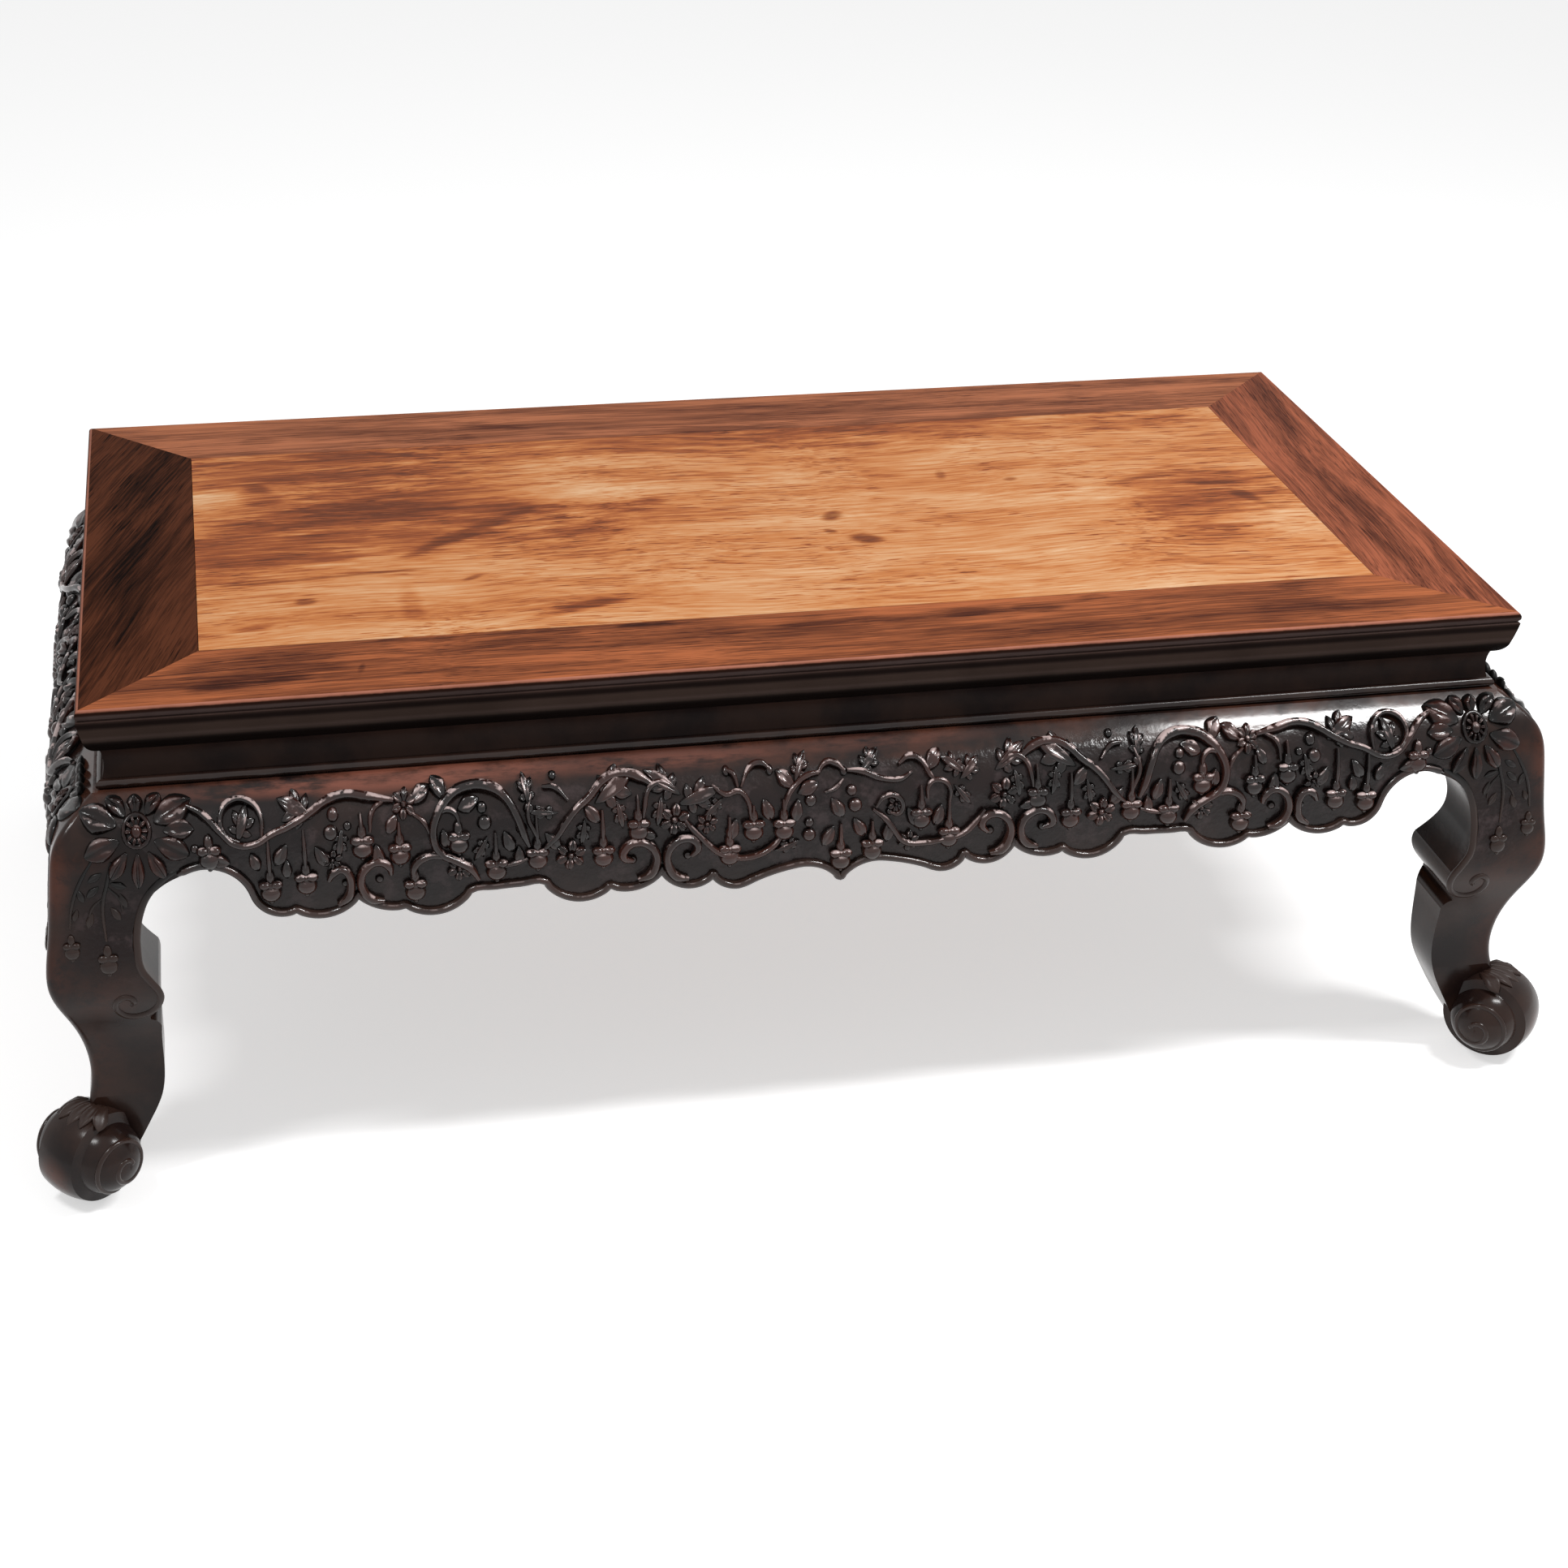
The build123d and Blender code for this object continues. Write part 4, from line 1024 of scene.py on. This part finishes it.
apron_carving_wear_and_painted_light = carving_wear_and_painted_light("lacquer_wear_and_painted_light_of_apron_carving", gloss=0.42, painted_highlight_share=1.0)
leg_carving_wear_and_painted_light = carving_wear_and_painted_light("lacquer_wear_and_painted_light_of_leg_carving", gloss=0.26, painted_highlight_share=0.35)


def finish_carving(piece, finish):
    """A carved piece is faced outward, and takes its finish and its place."""
    edit_where(piece, every, lambda: bpy.ops.mesh.normals_make_consistent(inside=False))
    piece.data.materials.clear()
    piece.data.materials.append(finish)
    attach(piece, "root")


for face in FACES:
    work = bend(flats[face in ("front", "back")], face, face + "_apron_carving")
    finish_carving(work, apron_carving_wear_and_painted_light)

# ---- Carving: legs ----
# On each shoulder a flower opens over the mitre. Below it two tassels hang, and a bead follows the
# inner edge down to a small scroll. All is cut in the leg's own wood.

# Drawn for the front's right leg in millimetres: across from the table's middle, and down from its top.
CORNER = 450
FLOWER = (421, 73)
# Petals: across, down, half length, half width.
PETALS = [(400, 64.5, 12, 7.2), (401.5, 82.5, 11, 6.6), (433, 91, 9.5, 4.4), (422, 95, 11, 3.8),
          (411, 92, 9.5, 4.2), (442.5, 66, 11, 6.8), (441.5, 80.5, 11, 6.6), (432, 60.5, 7.5, 5.0),
          (411, 60.5, 7, 4.6), (397, 73.5, 9, 5.0), (421, 60.5, 6, 4.4)]
LEG_VINES = [
    (2.4, [(400, 97), (409, 102), (418, 111), (423, 121), (426, 133), (427, 146), (426, 158), (421, 168),
           (417, 176), (417, 184), (421, 191), (428, 195), (436, 195), (441, 191), (443, 185), (440, 179),
           (435, 178), (432, 182), (434, 186)]),
    (1.2, [(437, 88), (440, 100), (444, 115), (444, 138)]),
    (1.1, [(446, 84), (455, 98), (461, 112), (464, 128)]),
    (0.9, [(440, 104), (434, 112), (433, 120)]),
    (0.9, [(443, 110), (450, 116), (453, 124)]),
]
# Tassels: across, down, size. Leaves are as on the aprons.
TASSELS = [(444, 151, 1.0), (464, 141, 0.85)]
LEG_LEAVES = [(434, 103, 200, 5, 2.2), (449, 106, -40, 5, 2.2), (437, 121, 240, 5, 2.2),
              (452, 124, -70, 5, 2.2), (456, 108, 250, 4.5, 2), (432, 113, 250, 5, 2),
              (447, 97, -30, 5, 2.2), (460, 120, 290, 4, 1.8)]


PETAL_HEIGHT = 5.6
LEG_LEAF_HEIGHT = 1.6


def from_corner(rows):
    """The rows with their place measured from the table's corner."""
    for x, down, *rest in rows:
        yield x - CORNER, -down, *rest


def leg_flat():
    """The carving of one leg's face, laid flat."""
    (middle, level), = from_corner([FLOWER])
    pieces = []
    for x, y, length, width in from_corner(PETALS):
        turn = math.degrees(math.atan2(y - level, x - middle))
        pieces.append(lay(petal, x, y, turn, (length, width, PETAL_HEIGHT), 0.6))
    pieces.append(lay(flower_eye, middle, level, 0, (1, 1, 1.2), 1.0))
    for x, y, size in from_corner(TASSELS):
        pieces.append(lay(drop, x, y, 0, (0.82 * size, 0.9 * size, 0.45)))
        pieces.append(lay(berry, x, y + 0.5, 0, (4.6 * size, 1.8 * size, 2.0), 0.4))
    for x, y, turn, length, width in from_corner(LEG_LEAVES):
        pieces.append(lay(leaf, x, y, turn, (length, width, LEG_LEAF_HEIGHT), 0.2))
    runs = [(radius, list(from_corner(points))) for radius, points in LEG_VINES]
    pieces.append(vine("leg_stalks", runs[:1], -0.9, 1.0))
    pieces.append(vine("leg_twigs", runs[1:], 0.2, 1.0))
    return merge(pieces, "flat_leg_work")


# The foot's roll: its middle on the front right leg, the way it points, and the balls at its sides.
FOOT_MIDDLE = Vector((468.74, -247.74, 30.5)) * MM
FOOT_OUT = Vector((1, -1, 0)).normalized()
FOOT_AXIS = Vector((1, 1, 0)).normalized()
# The leaf's tongue over the roll falls away outside a flat middle, and starts so far round it.
TONGUE_RADIUS = 31.0
TONGUE_FLAT = 12
TONGUE_FALL = 0.9
TONGUE_START = 100
BALL_OFFSET = 11.0
# The spiral winds down the ball a little sunk: from and by how many degrees it leans and turns.
SPIRAL_RADIUS = 23.5 - 0.8
SPIRAL_RIDGE = 1.9
SPIRAL_HEIGHT = 2.0
SPIRAL_STEPS = 24
SPIRAL_LEAN = (62, -56)
SPIRAL_TURN = (-110, 640)
# Leaves over the roll: along its axis, down from its top, turn, half length, half width, height.
FOOT_LEAVES = [(0, -9, -90, 13, 4.8, 2.2), (6.6, -8, -78, 12.5, 4.6, 2.1), (-6.6, -8, -102, 12.5, 4.6, 2.1),
               (12.6, -5, -62, 11, 4.4, 2.0), (-12.6, -5, -118, 11, 4.4, 2.0)]


def on_foot(axis, reach, turn):
    """A place about the roll: along its axis, out from it, and round it in radians."""
    round_it = FOOT_OUT * (reach * math.cos(turn)) + Vector((0, 0, reach * math.sin(turn)))
    return FOOT_MIDDLE + (FOOT_AXIS * axis + round_it) * MM


def spiral(side):
    """The places of the spiral on one ball, from its rim to its middle."""
    for number in range(SPIRAL_STEPS + 1):
        share = number / SPIRAL_STEPS
        lean = math.radians(SPIRAL_LEAN[0] + SPIRAL_LEAN[1] * share)
        turn = math.radians(SPIRAL_TURN[0] + SPIRAL_TURN[1] * share)
        across = BALL_OFFSET + SPIRAL_RADIUS * math.cos(lean)
        yield on_foot(side * across, SPIRAL_RADIUS * math.sin(lean), turn)


def foot_carving():
    """Leaf over the roll and a spiral on each ball of the front right foot."""
    draped = merge([lay(leaf, x, y, turn, half, -0.3) for x, y, turn, *half in FOOT_LEAVES], "foot_leaf")
    flat = [point.co / MM for point in draped.data.vertices]
    note_relief(draped, [rise for axis, run, rise in flat])
    for point, (axis, run, rise) in zip(draped.data.vertices, flat):
        reach = TONGUE_RADIUS + rise - max(abs(axis) - TONGUE_FLAT, 0) * TONGUE_FALL
        point.co = on_foot(axis, reach, math.radians(TONGUE_START) + run / TONGUE_RADIUS)
    runs = [(1.0, list(spiral(side))) for side in (1, -1)]
    spirals = round_runs("spirals", runs, SPIRAL_RIDGE * MM, 3, 0.4)
    note_relief(spirals, [SPIRAL_HEIGHT] * len(spirals.data.vertices))
    return merge([draped, spirals], "foot_work")


leg_work = leg_flat()
foot_work = foot_carving()
# The leg's face on the table's end is cut flatter than the one on its long side.
END_RISE = 0.55
# Each leg: its face on the long side and its face on the end, with the end of each face that it stands
# at, and its side of the table.
LEGS = {
    "front_right": (("front", 1), ("right", -1), 1, 1),
    "front_left": (("front", -1), ("left", 1), -1, 1),
    "back_right": (("back", -1), ("right", 1), 1, -1),
    "back_left": (("back", 1), ("left", -1), -1, -1),
}
for leg, (first, second, across, deep) in LEGS.items():
    pieces = [bend(leg_work, face, "leg_face", FACES[face][3], end, rise)
              for (face, end), rise in ((first, 1.0), (second, END_RISE))]
    foot = copied(foot_work)
    foot.data.transform(Matrix.Diagonal((across, deep, 1, 1)))
    finish_carving(merge(pieces + [foot], leg + "_leg_carving"), leg_carving_wear_and_painted_light)

for motif in kept_motifs + list(flats.values()) + [leg_work, foot_work]:
    bpy.data.objects.remove(motif, do_unlink=True)
